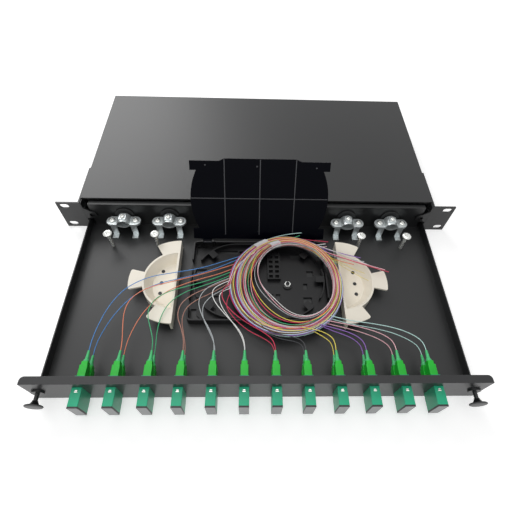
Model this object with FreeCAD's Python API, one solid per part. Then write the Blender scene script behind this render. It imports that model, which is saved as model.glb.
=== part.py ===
import FreeCAD, Part
import math
import os

os.makedirs("parts", exist_ok=True)
Vec = FreeCAD.Vector

# Optical distribution frame: a 19 inch, one unit high sliding drawer, drawn pulled out.
# X runs across the rack, Y runs back into the rack and Z runs up. All sizes are in millimetres.
# Inside this script heights are measured from the underside of the housing. The finished part
# has its origin midway up the ears, in the plane of their front faces.

# Rack ears
EAR_SPAN = 482.6
EAR_SHEET = 2.0
EAR_FLANGE_DEPTH = 60.0
EAR_TOP_GAP = 0.2
SLOT_SPACING_X = 465.1
SLOT_SPACING_Z = 31.75
SLOT_LENGTH = 11.0
SLOT_WIDTH = 7.0

# Housing
HOUSING_WIDTH = 427.0
HOUSING_DEPTH = 214.0
HOUSING_HEIGHT = 44.0
SHEET = 1.2
COVER_SETBACK = 8.4
COVER_HEM = 10.0
COVER_SIDE_FLANGE = 9.8
COVER_REAR_FLANGE = 8.0
BASE_REAR_LIP = 10.0
COVER_SCREW_ROWS = (75.0, 190.0)
EAR_SCREW_ROWS = (14.0, 46.0)
EAR_SCREW_HEIGHT = 25.0
SCREW_RADIUS = 2.0
SCREW_HEAD_RADIUS = 3.6
SCREW_HEAD_HEIGHT = 1.6
HEAD_ROUNDING = 0.5

# Latch brackets behind the ears
BRACKET_SHEET = 1.5
BRACKET_FRONT_GAP = 0.1
BRACKET_EYE_RADIUS = 6.1
BRACKET_HEIGHT = 18.5
BRACKET_FLANGE_DEPTH = 14.0
LATCH_INSET = 9.0
LATCH_HOLE_RADIUS = 3.1

# Drawer
DRAWER_TRAVEL = 204.1
DRAWER_FLOOR_GAP = 0.4
DRAWER_SIDE_GAP = 2.0
DRAWER_STOP_GAP = 0.4
TRAY_WALL_HEIGHT = 13.4
REAR_WALL_HEIGHT = 37.9
REAR_WALL_FLANGE = 4.6
REAR_WALL_END_INSET = 4.5
FRONT_LIP_HEIGHT = 5.6
PANEL_FLANGE = 7.4
PANEL_CLOSED_GAP = 0.3
PANEL_CORNER_RADIUS = 4.0
PANEL_EDGE_GAP = 0.2

# Duplex adapters, one above the other, and what plugs into them
ADAPTER_COUNT = 12
ADAPTER_PITCH = 30.0
PORT_SPACING = 12.7
ADAPTER_WIDTH = 9.4
ADAPTER_HEIGHT = 26.0
ADAPTER_STEP = 0.25
ADAPTER_FRONT_REACH = 16.4
ADAPTER_NECK_LENGTH = 4.7
ADAPTER_REAR_REACH = 9.4
CUTOUT_GAP = 0.1
CLIP_SHEET = 0.3
CLIP_WIDTH = 3.4
CLIP_LENGTH = 2.6
PORT_WIDTH = 7.7
PORT_HEIGHT = 9.3
PORT_WALL = 2.0
SLEEVE_RADIUS = 1.6
SLEEVE_BORE_RADIUS = 1.26
SLEEVE_LENGTH = 11.4
SLEEVE_HOLDER_RADIUS = 2.3
SLEEVE_HOLDER_GAP = 0.3
FERRULE_RADIUS = 1.25
FERRULE_BORE_RADIUS = 0.4
FERRULE_SEAT = 3.0
CONNECTOR_WIDTH = 7.4
CONNECTOR_HEIGHT = 9.0
CONNECTOR_LENGTH = 18.4
CONNECTOR_TAIL_WIDTH = 5.8
CONNECTOR_TAIL_HEIGHT = 7.2
CONNECTOR_TAIL_LENGTH = 3.8
CONNECTOR_INSERTION = 7.5
BOOT_LENGTH = 11.4
BOOT_COLLAR = 2.0
BOOT_BASE_RADIUS = 2.7
BOOT_TIP_RADIUS = 1.35
CAP_FLANGE = 1.7
CAP_PLUG_LENGTH = 6.0
CAP_PLUG_GAP = 0.2
MOULDED_EDGE = 0.5

# Push latches at the ends of the front panel
STEM_RADIUS = 2.0
STEM_RUNNING_GAP = 0.05
PLUNGER_STROKE = 6.0
PLUNGER_REACH = 14.0
PLUNGER_DISC_RADIUS = 8.3
PLUNGER_DISC_THICKNESS = 1.6
PLUNGER_DISC_EDGE = 0.6
PLUNGER_CONE_LENGTH = 3.4
PLUNGER_CONE_RADIUS = 5.0
PLUNGER_NECK_RADIUS = 2.7
PLUNGER_STOP_GAP = 0.3
GROMMET_COLLAR_RADIUS = 6.0
GROMMET_COLLAR_THICKNESS = 1.8
GROMMET_NOSE_RADIUS = 2.95
GROMMET_NOSE_LENGTH = 9.6
GROMMET_SLIT_WIDTH = 0.8
GROMMET_SLIT_START = 1.5

# Cable entries and clamps
CLAMP_OFFSETS = (110.0, 165.0)
CABLE_GROMMET_RADIUS = 11.5
CABLE_GROMMET_BORE = 4.6
CABLE_GROMMET_GROOVE_RADIUS = 9.4
CABLE_GROMMET_LIP = 1.8
CLAMP_BACK_GAP = 1.7
CLAMP_DEPTH = 13.0
CLAMP_REACH = 20.5
CLAMP_PLATE = 1.5
CLAMP_TABLE_HEIGHT = 17.6
CRADLE_DEPTH = 3.0
CLAMP_LEG_INNER = 8.5
CLAMP_LEG_WIDTH = 7.0
CLAMP_FOOT_LENGTH = 8.0
SADDLE_ARCH_RADIUS = 6.5
SADDLE_BOSS_HALF = 4.0
SADDLE_BOSS_HEIGHT = 1.0
CLAMP_SCREW_RADIUS = 1.9
CLAMP_SCREW_HEAD_RADIUS = 3.6
CLAMP_SCREW_HEAD_HEIGHT = 2.4
CLAMP_SCREW_LENGTH = 8.0
CENTRE_SCREW_RADIUS = 1.4
CENTRE_SCREW_HEAD_RADIUS = 2.9
CENTRE_SCREW_LENGTH = 3.0

# Anchor bolts for the cables' strength members
ANCHOR_OFFSET = 13.0
ANCHOR_Y = -32.0
ANCHOR_RADIUS = 2.2
ANCHOR_HEIGHT = 23.6
ANCHOR_HEAD_RADIUS = 5.3
ANCHOR_HEAD_HEIGHT = 3.2

# Splice tray
TRAY_HALF_WIDTH = 78.5
TRAY_REAR_Y = -31.0
TRAY_DEPTH = 105.0
TRAY_HEIGHT = 10.2
TRAY_WALL = 1.8
TRAY_FLOOR_CLEARANCE = 1.0
TRAY_FLOOR = 1.5
TRAY_CORNER_RADIUS = 5.0
RING_INSET = 3.0
RING_WALL = 1.4
RING_TOP_DROP = 1.0
RING_TAB_LENGTH = 9.0
RING_TAB_WIDTH = 8.0
RING_TAB_THICKNESS = 1.1
RING_TAB_ANGLES = (-50.0, 0.0, 50.0)
CORNER_WINDOW_INSET = 2.0
CORNER_WINDOW_LEG = 12.0
STUD_X = 32.7
STUD_Y = -89.0
STUD_RADIUS = 2.0
STUD_BOSS_RADIUS = 5.2
STUD_BOSS_HEIGHT = 4.2
STUD_TOP_REACH = 4.6
NUT_FLATS = 6.6
NUT_HEIGHT = 2.8
COMB_X = 17.5
COMB_REAR_Y = -43.0
COMB_ROWS = 6
COMB_PITCH = 6.6
COMB_HALF_WIDTH = 7.6
COMB_HEIGHT = 5.0
COMB_SLOT_FLOOR = 1.5
COMB_SLOT_WIDTH = 4.6
COMB_SLOT_LENGTH = 4.0
COMB_SLOT_X = 3.6

# Fibre entries through the tray's side walls and its ring wall: how far from the rear edge
# they start and end
TRAY_ENTRIES = ((27.0, 39.0), (77.0, 88.0))

# Windows in the splice tray's floor: low x, high x, and how far from the rear edge they start and end
TRAY_WINDOWS = (
    (-75.5, -61.0, 36.0, 42.0),
    (-75.5, -69.0, 88.0, 96.0),
    (-48.0, -24.0, 9.0, 14.0),
    (-56.0, -44.0, 71.0, 79.0),
    (11.0, 16.0, 69.0, 77.0),
    (19.0, 24.0, 69.0, 77.0),
    (38.0, 50.0, 14.0, 20.0),
    (51.0, 56.0, 55.0, 63.0),
    (56.0, 64.0, 38.0, 46.0),
    (50.0, 60.0, 73.0, 81.0),
)

# Lid of the splice tray and its hinge
HINGE_BACK_INSET = 1.0
HINGE_RISE = 1.0
HINGE_X = 62.0
KNUCKLE_HALF_LENGTH = 5.0
KNUCKLE_RADIUS = 2.6
KNUCKLE_SIDE_GAP = 0.3
KNUCKLE_WEB_REACH = 1.0
LUG_LENGTH = 3.0
LUG_RADIUS = 2.8
HINGE_PIN_RADIUS = 1.3
HINGE_RUNNING_GAP = 0.05
LID_OPEN_ANGLE = 118.0
LID_THICKNESS = 1.5
LID_START = 3.6
LID_BAND_HALF_WIDTH = 78.0
LID_BAND_END = 17.0
LID_WAIST_HALF_WIDTH = 70.5
LID_BULGE_HALF_WIDTH = 79.3
LID_BULGE_AT = 53.0
LID_TAB_LENGTH = 10.5
LID_TAB_NECK_HALF_WIDTH = 71.5
LID_TAB_HALF_WIDTH = 78.5
LID_TAB_SETBACK = 2.8
LID_SHOULDER_HALF_WIDTH = 46.0
LID_CROWN_HALF_WIDTH = 39.5
LID_LENGTH = 100.8
LID_RIB_X = 40.0
LID_RIB_AT = 55.0
LID_RIB_WIDTH = 1.2
LID_RIB_HEIGHT = 1.0
LID_RIB_FRONT_GAP = 0.5
LID_RIB_SIDE_GAP = 1.0
LID_RIB_HINGE_GAP = 6.0
LID_DOT_RADIUS = 0.9
LID_DOTS = ((-61.0, 7.3), (-3.5, 8.3), (63.0, 9.3))

# Half moon fibre guides
GUIDE_X = 92.5
GUIDE_Y = -87.8
GUIDE_RADIUS = 38.3
GUIDE_HEIGHT = 14.2
GUIDE_STRAIGHT_WALL = 2.4
GUIDE_RIM = 2.2
GUIDE_BOWL_FLOOR_RADIUS = 29.0
GUIDE_FLOOR = 1.8
GUIDE_TAB_RADIUS = 53.6
GUIDE_TAB_THICKNESS = 2.2
GUIDE_TAB_ROUNDING = 2.0
GUIDE_TABS = ((0.0, 31.0), (76.0, 104.0), (149.0, 180.0))
GUIDE_HOLE_INSET = 19.3
GUIDE_HOLE_STEPS = (17.6, 2.2, -11.4)
GUIDE_HOLE_RADIUS = 1.5
GUIDE_RIVET_HEAD_RADIUS = 2.1
GUIDE_RIVET_HEAD = 0.5

# Loose coil of fibre and the pigtails that run to it
COIL_X = 30.5
COIL_Y = -95.2
COIL_HALF_WIDTH = 65.5
COIL_HALF_DEPTH = 63.2
COIL_HOLE_X = 36.7
COIL_HOLE_Y = -91.0
COIL_HOLE_HALF_WIDTH = 44.6
COIL_HOLE_HALF_DEPTH = 49.6
COIL_BOTTOM = 13.6
COIL_TOP_REAR = 27.0
COIL_TOP_FRONT = 21.0
COIL_GUIDE_GAP = 0.5
FIBRE_RADIUS = 0.45
BEND_SHARE = 0.45

# Heights and places worked out from the sizes above
HALF_WIDTH = HOUSING_WIDTH / 2
INNER_HALF_WIDTH = HALF_WIDTH - SHEET
MID_HEIGHT = HOUSING_HEIGHT / 2
COVER_UNDERSIDE = HOUSING_HEIGHT - SHEET
LATCH_X = HALF_WIDTH - LATCH_INSET
BRACKET_BACK_Y = BRACKET_FRONT_GAP + BRACKET_SHEET
FLOOR_BOTTOM = SHEET + DRAWER_FLOOR_GAP
FLOOR_TOP = FLOOR_BOTTOM + SHEET
TRAY_OUTER = INNER_HALF_WIDTH - DRAWER_SIDE_GAP
WALL_TOP = FLOOR_BOTTOM + TRAY_WALL_HEIGHT
REAR_WALL_FRONT = BRACKET_BACK_Y + DRAWER_STOP_GAP
REAR_WALL_BACK = REAR_WALL_FRONT + SHEET
REAR_WALL_TOP = FLOOR_BOTTOM + REAR_WALL_HEIGHT
PANEL_FACE_Y = -(DRAWER_TRAVEL + PANEL_FLANGE + PANEL_CLOSED_GAP)
PANEL_BACK_Y = PANEL_FACE_Y + SHEET
ADAPTER_FRONT_Y = PANEL_FACE_Y - ADAPTER_FRONT_REACH
ADAPTER_REAR_Y = PANEL_BACK_Y + ADAPTER_REAR_REACH
ADAPTER_MID_Y = (ADAPTER_FRONT_Y + ADAPTER_REAR_Y) / 2
CONNECTOR_REAR_Y = ADAPTER_REAR_Y - CONNECTOR_INSERTION + CONNECTOR_LENGTH
BOOT_START_Y = CONNECTOR_REAR_Y + CONNECTOR_TAIL_LENGTH
BOOT_TIP_Y = BOOT_START_Y + BOOT_LENGTH
UPPER_PORT_Z = MID_HEIGHT + PORT_SPACING / 2
LOWER_PORT_Z = MID_HEIGHT - PORT_SPACING / 2
TRAY_TOP = FLOOR_TOP + TRAY_HEIGHT
TRAY_FLOOR_TOP = FLOOR_TOP + TRAY_FLOOR_CLEARANCE + TRAY_FLOOR
TRAY_FRONT_Y = TRAY_REAR_Y - TRAY_DEPTH
TRAY_MID_Y = (TRAY_REAR_Y + TRAY_FRONT_Y) / 2
RING_RADIUS = TRAY_DEPTH / 2 - RING_INSET
RING_CENTRE_X = TRAY_HALF_WIDTH - RING_INSET - RING_RADIUS
HINGE_Y = TRAY_REAR_Y - HINGE_BACK_INSET
LID_TAB_END = LID_LENGTH - LID_TAB_SETBACK
LID_TAB_START = LID_TAB_END - LID_TAB_LENGTH
HINGE_Z = TRAY_TOP + HINGE_RISE
TABLE_TOP = FLOOR_TOP + CLAMP_TABLE_HEIGHT
SADDLE_TOP = TABLE_TOP + CLAMP_PLATE
CLAMP_REAR_Y = REAR_WALL_FRONT - CABLE_GROMMET_LIP - CLAMP_BACK_GAP
CLAMP_MID_Y = CLAMP_REAR_Y - CLAMP_DEPTH / 2
ARCH_OUTER = SADDLE_ARCH_RADIUS + CLAMP_PLATE
CRADLE_RADIUS = (SADDLE_ARCH_RADIUS ** 2 + CRADLE_DEPTH ** 2) / (2 * CRADLE_DEPTH)
CRADLE_CENTRE_Z = TABLE_TOP + CRADLE_RADIUS - CRADLE_DEPTH
GUIDE_TOP = FLOOR_TOP + GUIDE_HEIGHT
STUD_BOSS_TOP = FLOOR_TOP + STUD_BOSS_HEIGHT

# Routes of the pigtails, chosen by hand: from the boot's tip, over the drawer, into the coil.
# Each pair belongs to one adapter, the upper port first. The first run leaves the boot straight.
ROUTES = {
    "pigtail_pair_01": (
        [(-165, -175.1, 28.35), (-165, -166, 28.35), (-163.6, -151, 27), (-158.5, -127, 25),
         (-146.5, -103, 22.5), (-124, -87, 20.5), (-97, -80.5, 19), (-70, -74, 17),
         (-46, -65, 16), (-16, -52.5, 15.6)],
        [(-165, -175.1, 15.65), (-165, -166, 15.65), (-161.5, -152, 16.8), (-152, -131, 18.8),
         (-136.5, -110, 19.8), (-113, -94.5, 19), (-86, -86.5, 17.5), (-61, -77.5, 16),
         (-41, -68, 15.5), (-23, -58.5, 15.2)],
    ),
    "pigtail_pair_02": (
        [(-135, -175.1, 28.35), (-135, -166, 28.35), (-138, -151, 27), (-141, -131, 25),
         (-137, -114, 23.2), (-122, -101, 21.2), (-99, -93, 19.6), (-74, -84.5, 18),
         (-50, -75.5, 16.6), (-25, -65, 15.8)],
        [(-135, -175.1, 15.65), (-135, -166, 15.65), (-132, -152, 17), (-125, -134, 18.8),
         (-114, -117, 19.4), (-99, -102.5, 18.8), (-80, -92.5, 17.4), (-59, -84.5, 16.2),
         (-41, -78, 15.6), (-28, -71, 15.4)],
    ),
    "pigtail_pair_03": (
        [(-105, -175.1, 28.35), (-105, -166, 28.35), (-110, -152, 26.5), (-117, -134, 24),
         (-114.5, -118, 22), (-101, -106, 20.4), (-80, -98, 19), (-62, -91.5, 17.8),
         (-45, -84, 17), (-30, -76.5, 16.6)],
        [(-105, -175.1, 15.65), (-105, -166, 15.65), (-105.5, -151.5, 18), (-103.5, -133, 19.4),
         (-96, -117, 19.4), (-82, -105, 18.4), (-65, -97, 17), (-48, -90, 16.2),
         (-31.5, -81, 15.8)],
    ),
    "pigtail_pair_04": (
        [(-75, -175.1, 28.35), (-75, -166, 28.35), (-79, -152, 26.5), (-86, -136, 24),
         (-84, -120, 22), (-71.5, -108, 20.2), (-56, -99.5, 18.8), (-44, -93, 18),
         (-31.5, -86, 17.6)],
        [(-75, -175.1, 15.65), (-75, -166, 15.65), (-78.5, -152, 17.2), (-82, -137, 18.2),
         (-78.5, -123.5, 18.4), (-67, -113.5, 18), (-53.5, -106, 17.2), (-44, -99.5, 16.8),
         (-33, -91.5, 16.4)],
    ),
    "pigtail_pair_05": (
        [(-45, -175.1, 28.35), (-45, -166, 28.35), (-51, -152, 27), (-61, -135, 25),
         (-66, -117, 23.4), (-59, -102.5, 22.2), (-46, -94, 21.2), (-32.5, -88, 20.6)],
        [(-45, -175.1, 15.65), (-45, -166, 15.65), (-51, -152.5, 17.8), (-59.5, -137, 19.8),
         (-61, -123, 20.8), (-53.5, -112, 20.6), (-44, -105, 19.8), (-32.5, -97.5, 19.4)],
    ),
    "pigtail_pair_06": (
        [(-15, -175.1, 28.35), (-15, -166, 28.35), (-21, -152.5, 27.8), (-36, -136, 27),
         (-48.5, -120, 26), (-52, -107, 24.6), (-44.5, -98, 23.2), (-33, -92.5, 22.4)],
        [(-15, -175.1, 15.65), (-15, -166, 15.65), (-19.5, -153.5, 18), (-30.5, -139, 21),
         (-41, -124, 22.8), (-44, -112, 22.6), (-40, -105, 22), (-32.5, -102, 21.4)],
    ),
    "pigtail_pair_07": (
        [(15, -175.1, 28.35), (15, -166, 28.35), (5, -156.5, 28), (-13, -146, 27.5),
         (-31, -131, 26.6), (-41, -115, 24.8), (-40, -103, 23.6), (-32.5, -97, 22.8)],
        [(15, -175.1, 15.65), (15, -166, 15.65), (6, -158.5, 16.8), (-13, -149.5, 17.8),
         (-29.5, -134, 18.8), (-37.5, -119, 19.2), (-32, -107, 19.2)],
    ),
    "pigtail_pair_08": (
        [(45, -175.1, 28.35), (45, -168, 28.35), (38.5, -161.5, 26.5), (26, -157.5, 24),
         (12, -152.5, 20)],
        [(45, -175.1, 15.65), (45, -168, 15.65), (41, -162.5, 16.4), (31, -160.2, 17.2),
         (19, -158.4, 17.8), (8, -153, 18)],
    ),
    "pigtail_pair_09": (
        [(75, -175.1, 28.35), (75, -168, 28.35), (73, -161, 27.5), (65.5, -155, 26),
         (54, -150, 23.6), (43, -147, 20)],
        [(75, -175.1, 15.65), (75, -168, 15.65), (72.5, -161, 16.6), (65.5, -156, 17.6),
         (56, -150.5, 18.2)],
    ),
    "pigtail_pair_10": (
        [(105, -175.1, 28.35), (105, -168, 28.35), (99.5, -160, 27), (89, -154, 25.5),
         (76, -149, 23.6), (62, -143.5, 20)],
        [(105, -175.1, 15.65), (105, -168, 15.65), (100.5, -161, 16.8), (91, -155.5, 17.8),
         (78, -151, 18.4), (65, -145, 18.4)],
    ),
    "pigtail_pair_11": (
        [(135, -175.1, 28.35), (135, -168, 28.35), (129.5, -160, 27), (117, -153, 25.5),
         (99, -147, 24), (82, -142.5, 22), (69, -138.5, 19.6)],
        [(135, -175.1, 15.65), (135, -168, 15.65), (128, -161, 17), (114, -154.5, 18.2),
         (97, -149, 18.8), (82, -145, 18.6), (70.5, -141, 17)],
    ),
    "pigtail_pair_12": (
        [(165, -175.1, 28.35), (165, -168, 28.35), (159, -159.5, 27), (144, -151, 25.5),
         (122, -145, 24), (99, -141, 22.4), (83, -136.5, 21), (73, -132.5, 19.6)],
        [(165, -175.1, 15.65), (165, -168, 15.65), (157.5, -161, 17.2), (141, -153, 18.8),
         (119, -147.5, 19.8), (99, -144, 20), (84, -139.5, 19.2), (74.5, -136, 18)],
    ),
}


def box(x0, x1, y0, y1, z0, z1):
    return Part.makeBox(x1 - x0, y1 - y0, z1 - z0, Vec(x0, y0, z0))


def rod(radius, x, y, z, axis, length):
    return Part.makeCylinder(radius, length, Vec(x, y, z), Vec(*axis))


def cone(radius_start, radius_end, x, y, z, axis, length):
    return Part.makeCone(radius_start, radius_end, length, Vec(x, y, z), Vec(*axis))


def fuse(*shapes):
    return shapes[0].multiFuse(list(shapes[1:])).removeSplitter()


def cut(shape, *tools):
    return shape.cut(list(tools))


def mirror_x(shape):
    return shape.mirror(Vec(0, 0, 0), Vec(1, 0, 0))


def prism(points, direction):
    """A flat outline of corner points, pushed along a direction."""
    corners = [Vec(*p) for p in points]
    outline = Part.makePolygon(corners + corners[:1])
    return Part.Face(outline).extrude(Vec(*direction))


def round_edges(shape, radius, axis):
    """Rounds the straight edges that run along an axis."""
    along = Vec(*axis)
    chosen = []
    for edge in shape.Edges:
        ends = edge.Vertexes
        if len(ends) == 2:
            run = ends[1].Point - ends[0].Point
            if run.cross(along).Length < 1e-6 and edge.Curve.TypeId == "Part::GeomLine":
                chosen.append(edge)
    return shape.makeFillet(radius, chosen)


def hexagon(flats, x, y, z, height):
    """An upright hexagonal prism, given across its flats."""
    radius = flats / math.sqrt(3)
    corners = []
    for step in range(6):
        turn = math.radians(60 * step)
        corners.append((x + radius * math.cos(turn), y + radius * math.sin(turn), z))
    return prism(corners, (0, 0, height))


def save(node, *shapes):
    """Writes one sub-part, moved so that the origin is midway up the ears."""
    solids = []
    for shape in shapes:
        solids.extend(shape.Solids)
    result = solids[0] if len(solids) == 1 else Part.makeCompound(solids)
    result = result.copy()
    result.translate(Vec(0, 0, -MID_HEIGHT))
    result.exportStep("parts/%s.step" % node)


def adapter_places():
    first = -ADAPTER_PITCH * (ADAPTER_COUNT - 1) / 2
    return [first + ADAPTER_PITCH * index for index in range(ADAPTER_COUNT)]


def clamp_places():
    return [side * offset for side in (-1, 1) for offset in CLAMP_OFFSETS]


def anchor_places():
    return [side * (offset + ANCHOR_OFFSET) for side in (-1, 1) for offset in CLAMP_OFFSETS]


# Housing
def housing_base():
    floor = box(-HALF_WIDTH, HALF_WIDTH, 0, HOUSING_DEPTH, 0, SHEET)
    side = box(INNER_HALF_WIDTH, HALF_WIDTH, 0, HOUSING_DEPTH, 0, COVER_UNDERSIDE)
    lip = box(-HALF_WIDTH, HALF_WIDTH, HOUSING_DEPTH - SHEET, HOUSING_DEPTH, 0, BASE_REAR_LIP)
    base = fuse(floor, side, mirror_x(side), lip)
    screw_height = COVER_UNDERSIDE - COVER_SIDE_FLANGE / 2
    holes = [cross_hole(y, screw_height) for y in COVER_SCREW_ROWS]
    holes += [cross_hole(y, EAR_SCREW_HEIGHT) for y in EAR_SCREW_ROWS]
    return cut(base, *holes)


def cross_hole(y, z):
    """One drilling from side to side of the housing."""
    reach = HALF_WIDTH + EAR_SHEET
    return rod(SCREW_RADIUS, -reach, y, z, (1, 0, 0), 2 * reach)


def top_cover():
    plate = box(-HALF_WIDTH, HALF_WIDTH, COVER_SETBACK, HOUSING_DEPTH, COVER_UNDERSIDE, HOUSING_HEIGHT)
    hem = box(-INNER_HALF_WIDTH + SHEET, INNER_HALF_WIDTH - SHEET, COVER_SETBACK,
              COVER_SETBACK + COVER_HEM, COVER_UNDERSIDE - SHEET, COVER_UNDERSIDE)
    side = box(INNER_HALF_WIDTH - SHEET, INNER_HALF_WIDTH, COVER_SETBACK, HOUSING_DEPTH - SHEET,
               COVER_UNDERSIDE - COVER_SIDE_FLANGE, COVER_UNDERSIDE)
    back = box(-INNER_HALF_WIDTH, INNER_HALF_WIDTH, HOUSING_DEPTH - SHEET, HOUSING_DEPTH,
               COVER_UNDERSIDE - COVER_REAR_FLANGE, COVER_UNDERSIDE)
    cover = fuse(plate, hem, side, mirror_x(side), back)
    screw_height = COVER_UNDERSIDE - COVER_SIDE_FLANGE / 2
    return cut(cover, *[cross_hole(y, screw_height) for y in COVER_SCREW_ROWS])


def rack_slot(x, z):
    """A slot that runs across the ear, through its sheet."""
    half_run = (SLOT_LENGTH - SLOT_WIDTH) / 2
    radius = SLOT_WIDTH / 2
    middle = box(x - half_run, x + half_run, 0, EAR_SHEET, z - radius, z + radius)
    ends = [rod(radius, x + side * half_run, 0, z, (0, 1, 0), EAR_SHEET) for side in (-1, 1)]
    return fuse(middle, *ends)


def ear_bracket():
    """The right ear: a front plate with two slots, and a flange along the housing's side."""
    low = EAR_TOP_GAP
    high = HOUSING_HEIGHT - EAR_TOP_GAP
    plate = box(HALF_WIDTH, EAR_SPAN / 2, 0, EAR_SHEET, low, high)
    flange = box(HALF_WIDTH, HALF_WIDTH + EAR_SHEET, 0, EAR_FLANGE_DEPTH, low, high)
    slots = []
    for side in (-1, 1):
        slots.append(rack_slot(SLOT_SPACING_X / 2, MID_HEIGHT + side * SLOT_SPACING_Z / 2))
    holes = [cross_hole(y, EAR_SCREW_HEIGHT) for y in EAR_SCREW_ROWS]
    return cut(fuse(plate, flange), *(slots + holes))


def latch_bracket():
    """The right latch bracket: an eye for the latch's nose, folded from a flange on the housing."""
    eye_bottom = MID_HEIGHT - BRACKET_EYE_RADIUS
    top = eye_bottom + BRACKET_HEIGHT
    front = BRACKET_FRONT_GAP
    web = prism([(INNER_HALF_WIDTH, front, eye_bottom), (INNER_HALF_WIDTH, front, top),
                 (LATCH_X, front, MID_HEIGHT + BRACKET_EYE_RADIUS), (LATCH_X, front, eye_bottom)],
                (0, BRACKET_SHEET, 0))
    eye = rod(BRACKET_EYE_RADIUS, LATCH_X, front, MID_HEIGHT, (0, 1, 0), BRACKET_SHEET)
    flange = box(INNER_HALF_WIDTH - SHEET, INNER_HALF_WIDTH, front, BRACKET_FLANGE_DEPTH,
                 eye_bottom, COVER_UNDERSIDE - COVER_SIDE_FLANGE - EAR_TOP_GAP)
    hole = rod(LATCH_HOLE_RADIUS, LATCH_X, 0, MID_HEIGHT, (0, 1, 0), BRACKET_BACK_Y + 1)
    first_screw = cross_hole(EAR_SCREW_ROWS[0], EAR_SCREW_HEIGHT)
    return cut(fuse(web, eye, flange), hole, first_screw)


def side_screw(x_face, x_end, y, z):
    """A pan head screw driven from outside the right wall inwards."""
    head = rod(SCREW_HEAD_RADIUS, x_face, y, z, (1, 0, 0), SCREW_HEAD_HEIGHT)
    shank = rod(SCREW_RADIUS, x_end, y, z, (1, 0, 0), x_face - x_end)
    return fuse(round_rim(head, Vec(x_face + SCREW_HEAD_HEIGHT, y, z)), shank)


def round_rim(head, centre):
    """Rounds the outer rim of a screw head whose outer face has this centre."""
    rims = []
    for edge in head.Edges:
        if edge.Curve.TypeId == "Part::GeomCircle" and edge.Curve.Center.isEqual(centre, 1e-6):
            rims.append(edge)
    return head.makeFillet(SCREW_HEAD_HEIGHT * HEAD_ROUNDING, rims)


def cover_screws():
    screw_height = COVER_UNDERSIDE - COVER_SIDE_FLANGE / 2
    inner_end = INNER_HALF_WIDTH - SHEET
    screws = []
    for y in COVER_SCREW_ROWS:
        screws.append(side_screw(HALF_WIDTH, inner_end, y, screw_height))
    return screws + [mirror_x(screw) for screw in screws]


def ear_screws():
    inner_end = INNER_HALF_WIDTH - SHEET
    screws = [side_screw(HALF_WIDTH + EAR_SHEET, inner_end, y, EAR_SCREW_HEIGHT)
              for y in EAR_SCREW_ROWS]
    return screws + [mirror_x(screw) for screw in screws]


# Drawer
def drawer_tray():
    floor = box(-TRAY_OUTER, TRAY_OUTER, PANEL_BACK_Y, REAR_WALL_BACK, FLOOR_BOTTOM, FLOOR_TOP)
    side = box(TRAY_OUTER - SHEET, TRAY_OUTER, PANEL_BACK_Y, REAR_WALL_BACK, FLOOR_BOTTOM, WALL_TOP)
    half_wall = TRAY_OUTER - REAR_WALL_END_INSET
    wall = box(-half_wall, half_wall, REAR_WALL_FRONT, REAR_WALL_BACK, FLOOR_BOTTOM, REAR_WALL_TOP)
    wall_flange = box(-half_wall, half_wall, REAR_WALL_FRONT, REAR_WALL_BACK + REAR_WALL_FLANGE,
                      REAR_WALL_TOP - SHEET, REAR_WALL_TOP)
    lip = box(-half_wall, half_wall, PANEL_BACK_Y, PANEL_BACK_Y + SHEET,
              FLOOR_BOTTOM, FLOOR_TOP + FRONT_LIP_HEIGHT)
    tray = fuse(floor, side, mirror_x(side), wall, wall_flange, lip)
    holes = [rod(CABLE_GROMMET_GROOVE_RADIUS, x, REAR_WALL_FRONT, MID_HEIGHT, (0, 1, 0), SHEET)
             for x in clamp_places()]
    holes += [rod(ANCHOR_RADIUS, x, ANCHOR_Y, FLOOR_BOTTOM, (0, 0, 1), SHEET)
              for x in anchor_places()]
    holes += [rod(STUD_RADIUS, side_x * STUD_X, STUD_Y, FLOOR_BOTTOM, (0, 0, 1), SHEET)
              for side_x in (-1, 1)]
    holes += [rod(GUIDE_HOLE_RADIUS, x, y, FLOOR_BOTTOM, (0, 0, 1), SHEET)
              for x, y in guide_hole_places()]
    return cut(tray, *holes)


def front_panel():
    low = PANEL_EDGE_GAP
    high = HOUSING_HEIGHT - PANEL_EDGE_GAP
    face = box(-HALF_WIDTH, HALF_WIDTH, PANEL_FACE_Y, PANEL_BACK_Y, low, high)
    flange = box(-HALF_WIDTH, HALF_WIDTH, PANEL_FACE_Y, PANEL_FACE_Y + PANEL_FLANGE, high - SHEET, high)
    corners = [edge for edge in flange.Edges
               if edge.Vertexes[0].Point.y > PANEL_BACK_Y and edge.Vertexes[1].Point.y > PANEL_BACK_Y
               and edge.Length < SHEET + 1e-6]
    flange = flange.makeFillet(PANEL_CORNER_RADIUS, corners)
    tools = [adapter_cutout(x) for x in adapter_places()]
    for side in (-1, 1):
        tools.append(rod(GROMMET_NOSE_RADIUS, side * LATCH_X, PANEL_FACE_Y, MID_HEIGHT, (0, 1, 0), SHEET))
    return cut(fuse(face, flange), *tools)


def adapter_cutout(x):
    half_width = ADAPTER_WIDTH / 2 - ADAPTER_STEP + CUTOUT_GAP
    half_height = ADAPTER_HEIGHT / 2 - ADAPTER_STEP + CUTOUT_GAP
    return box(x - half_width, x + half_width, PANEL_FACE_Y, PANEL_BACK_Y,
               MID_HEIGHT - half_height, MID_HEIGHT + half_height)


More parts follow.
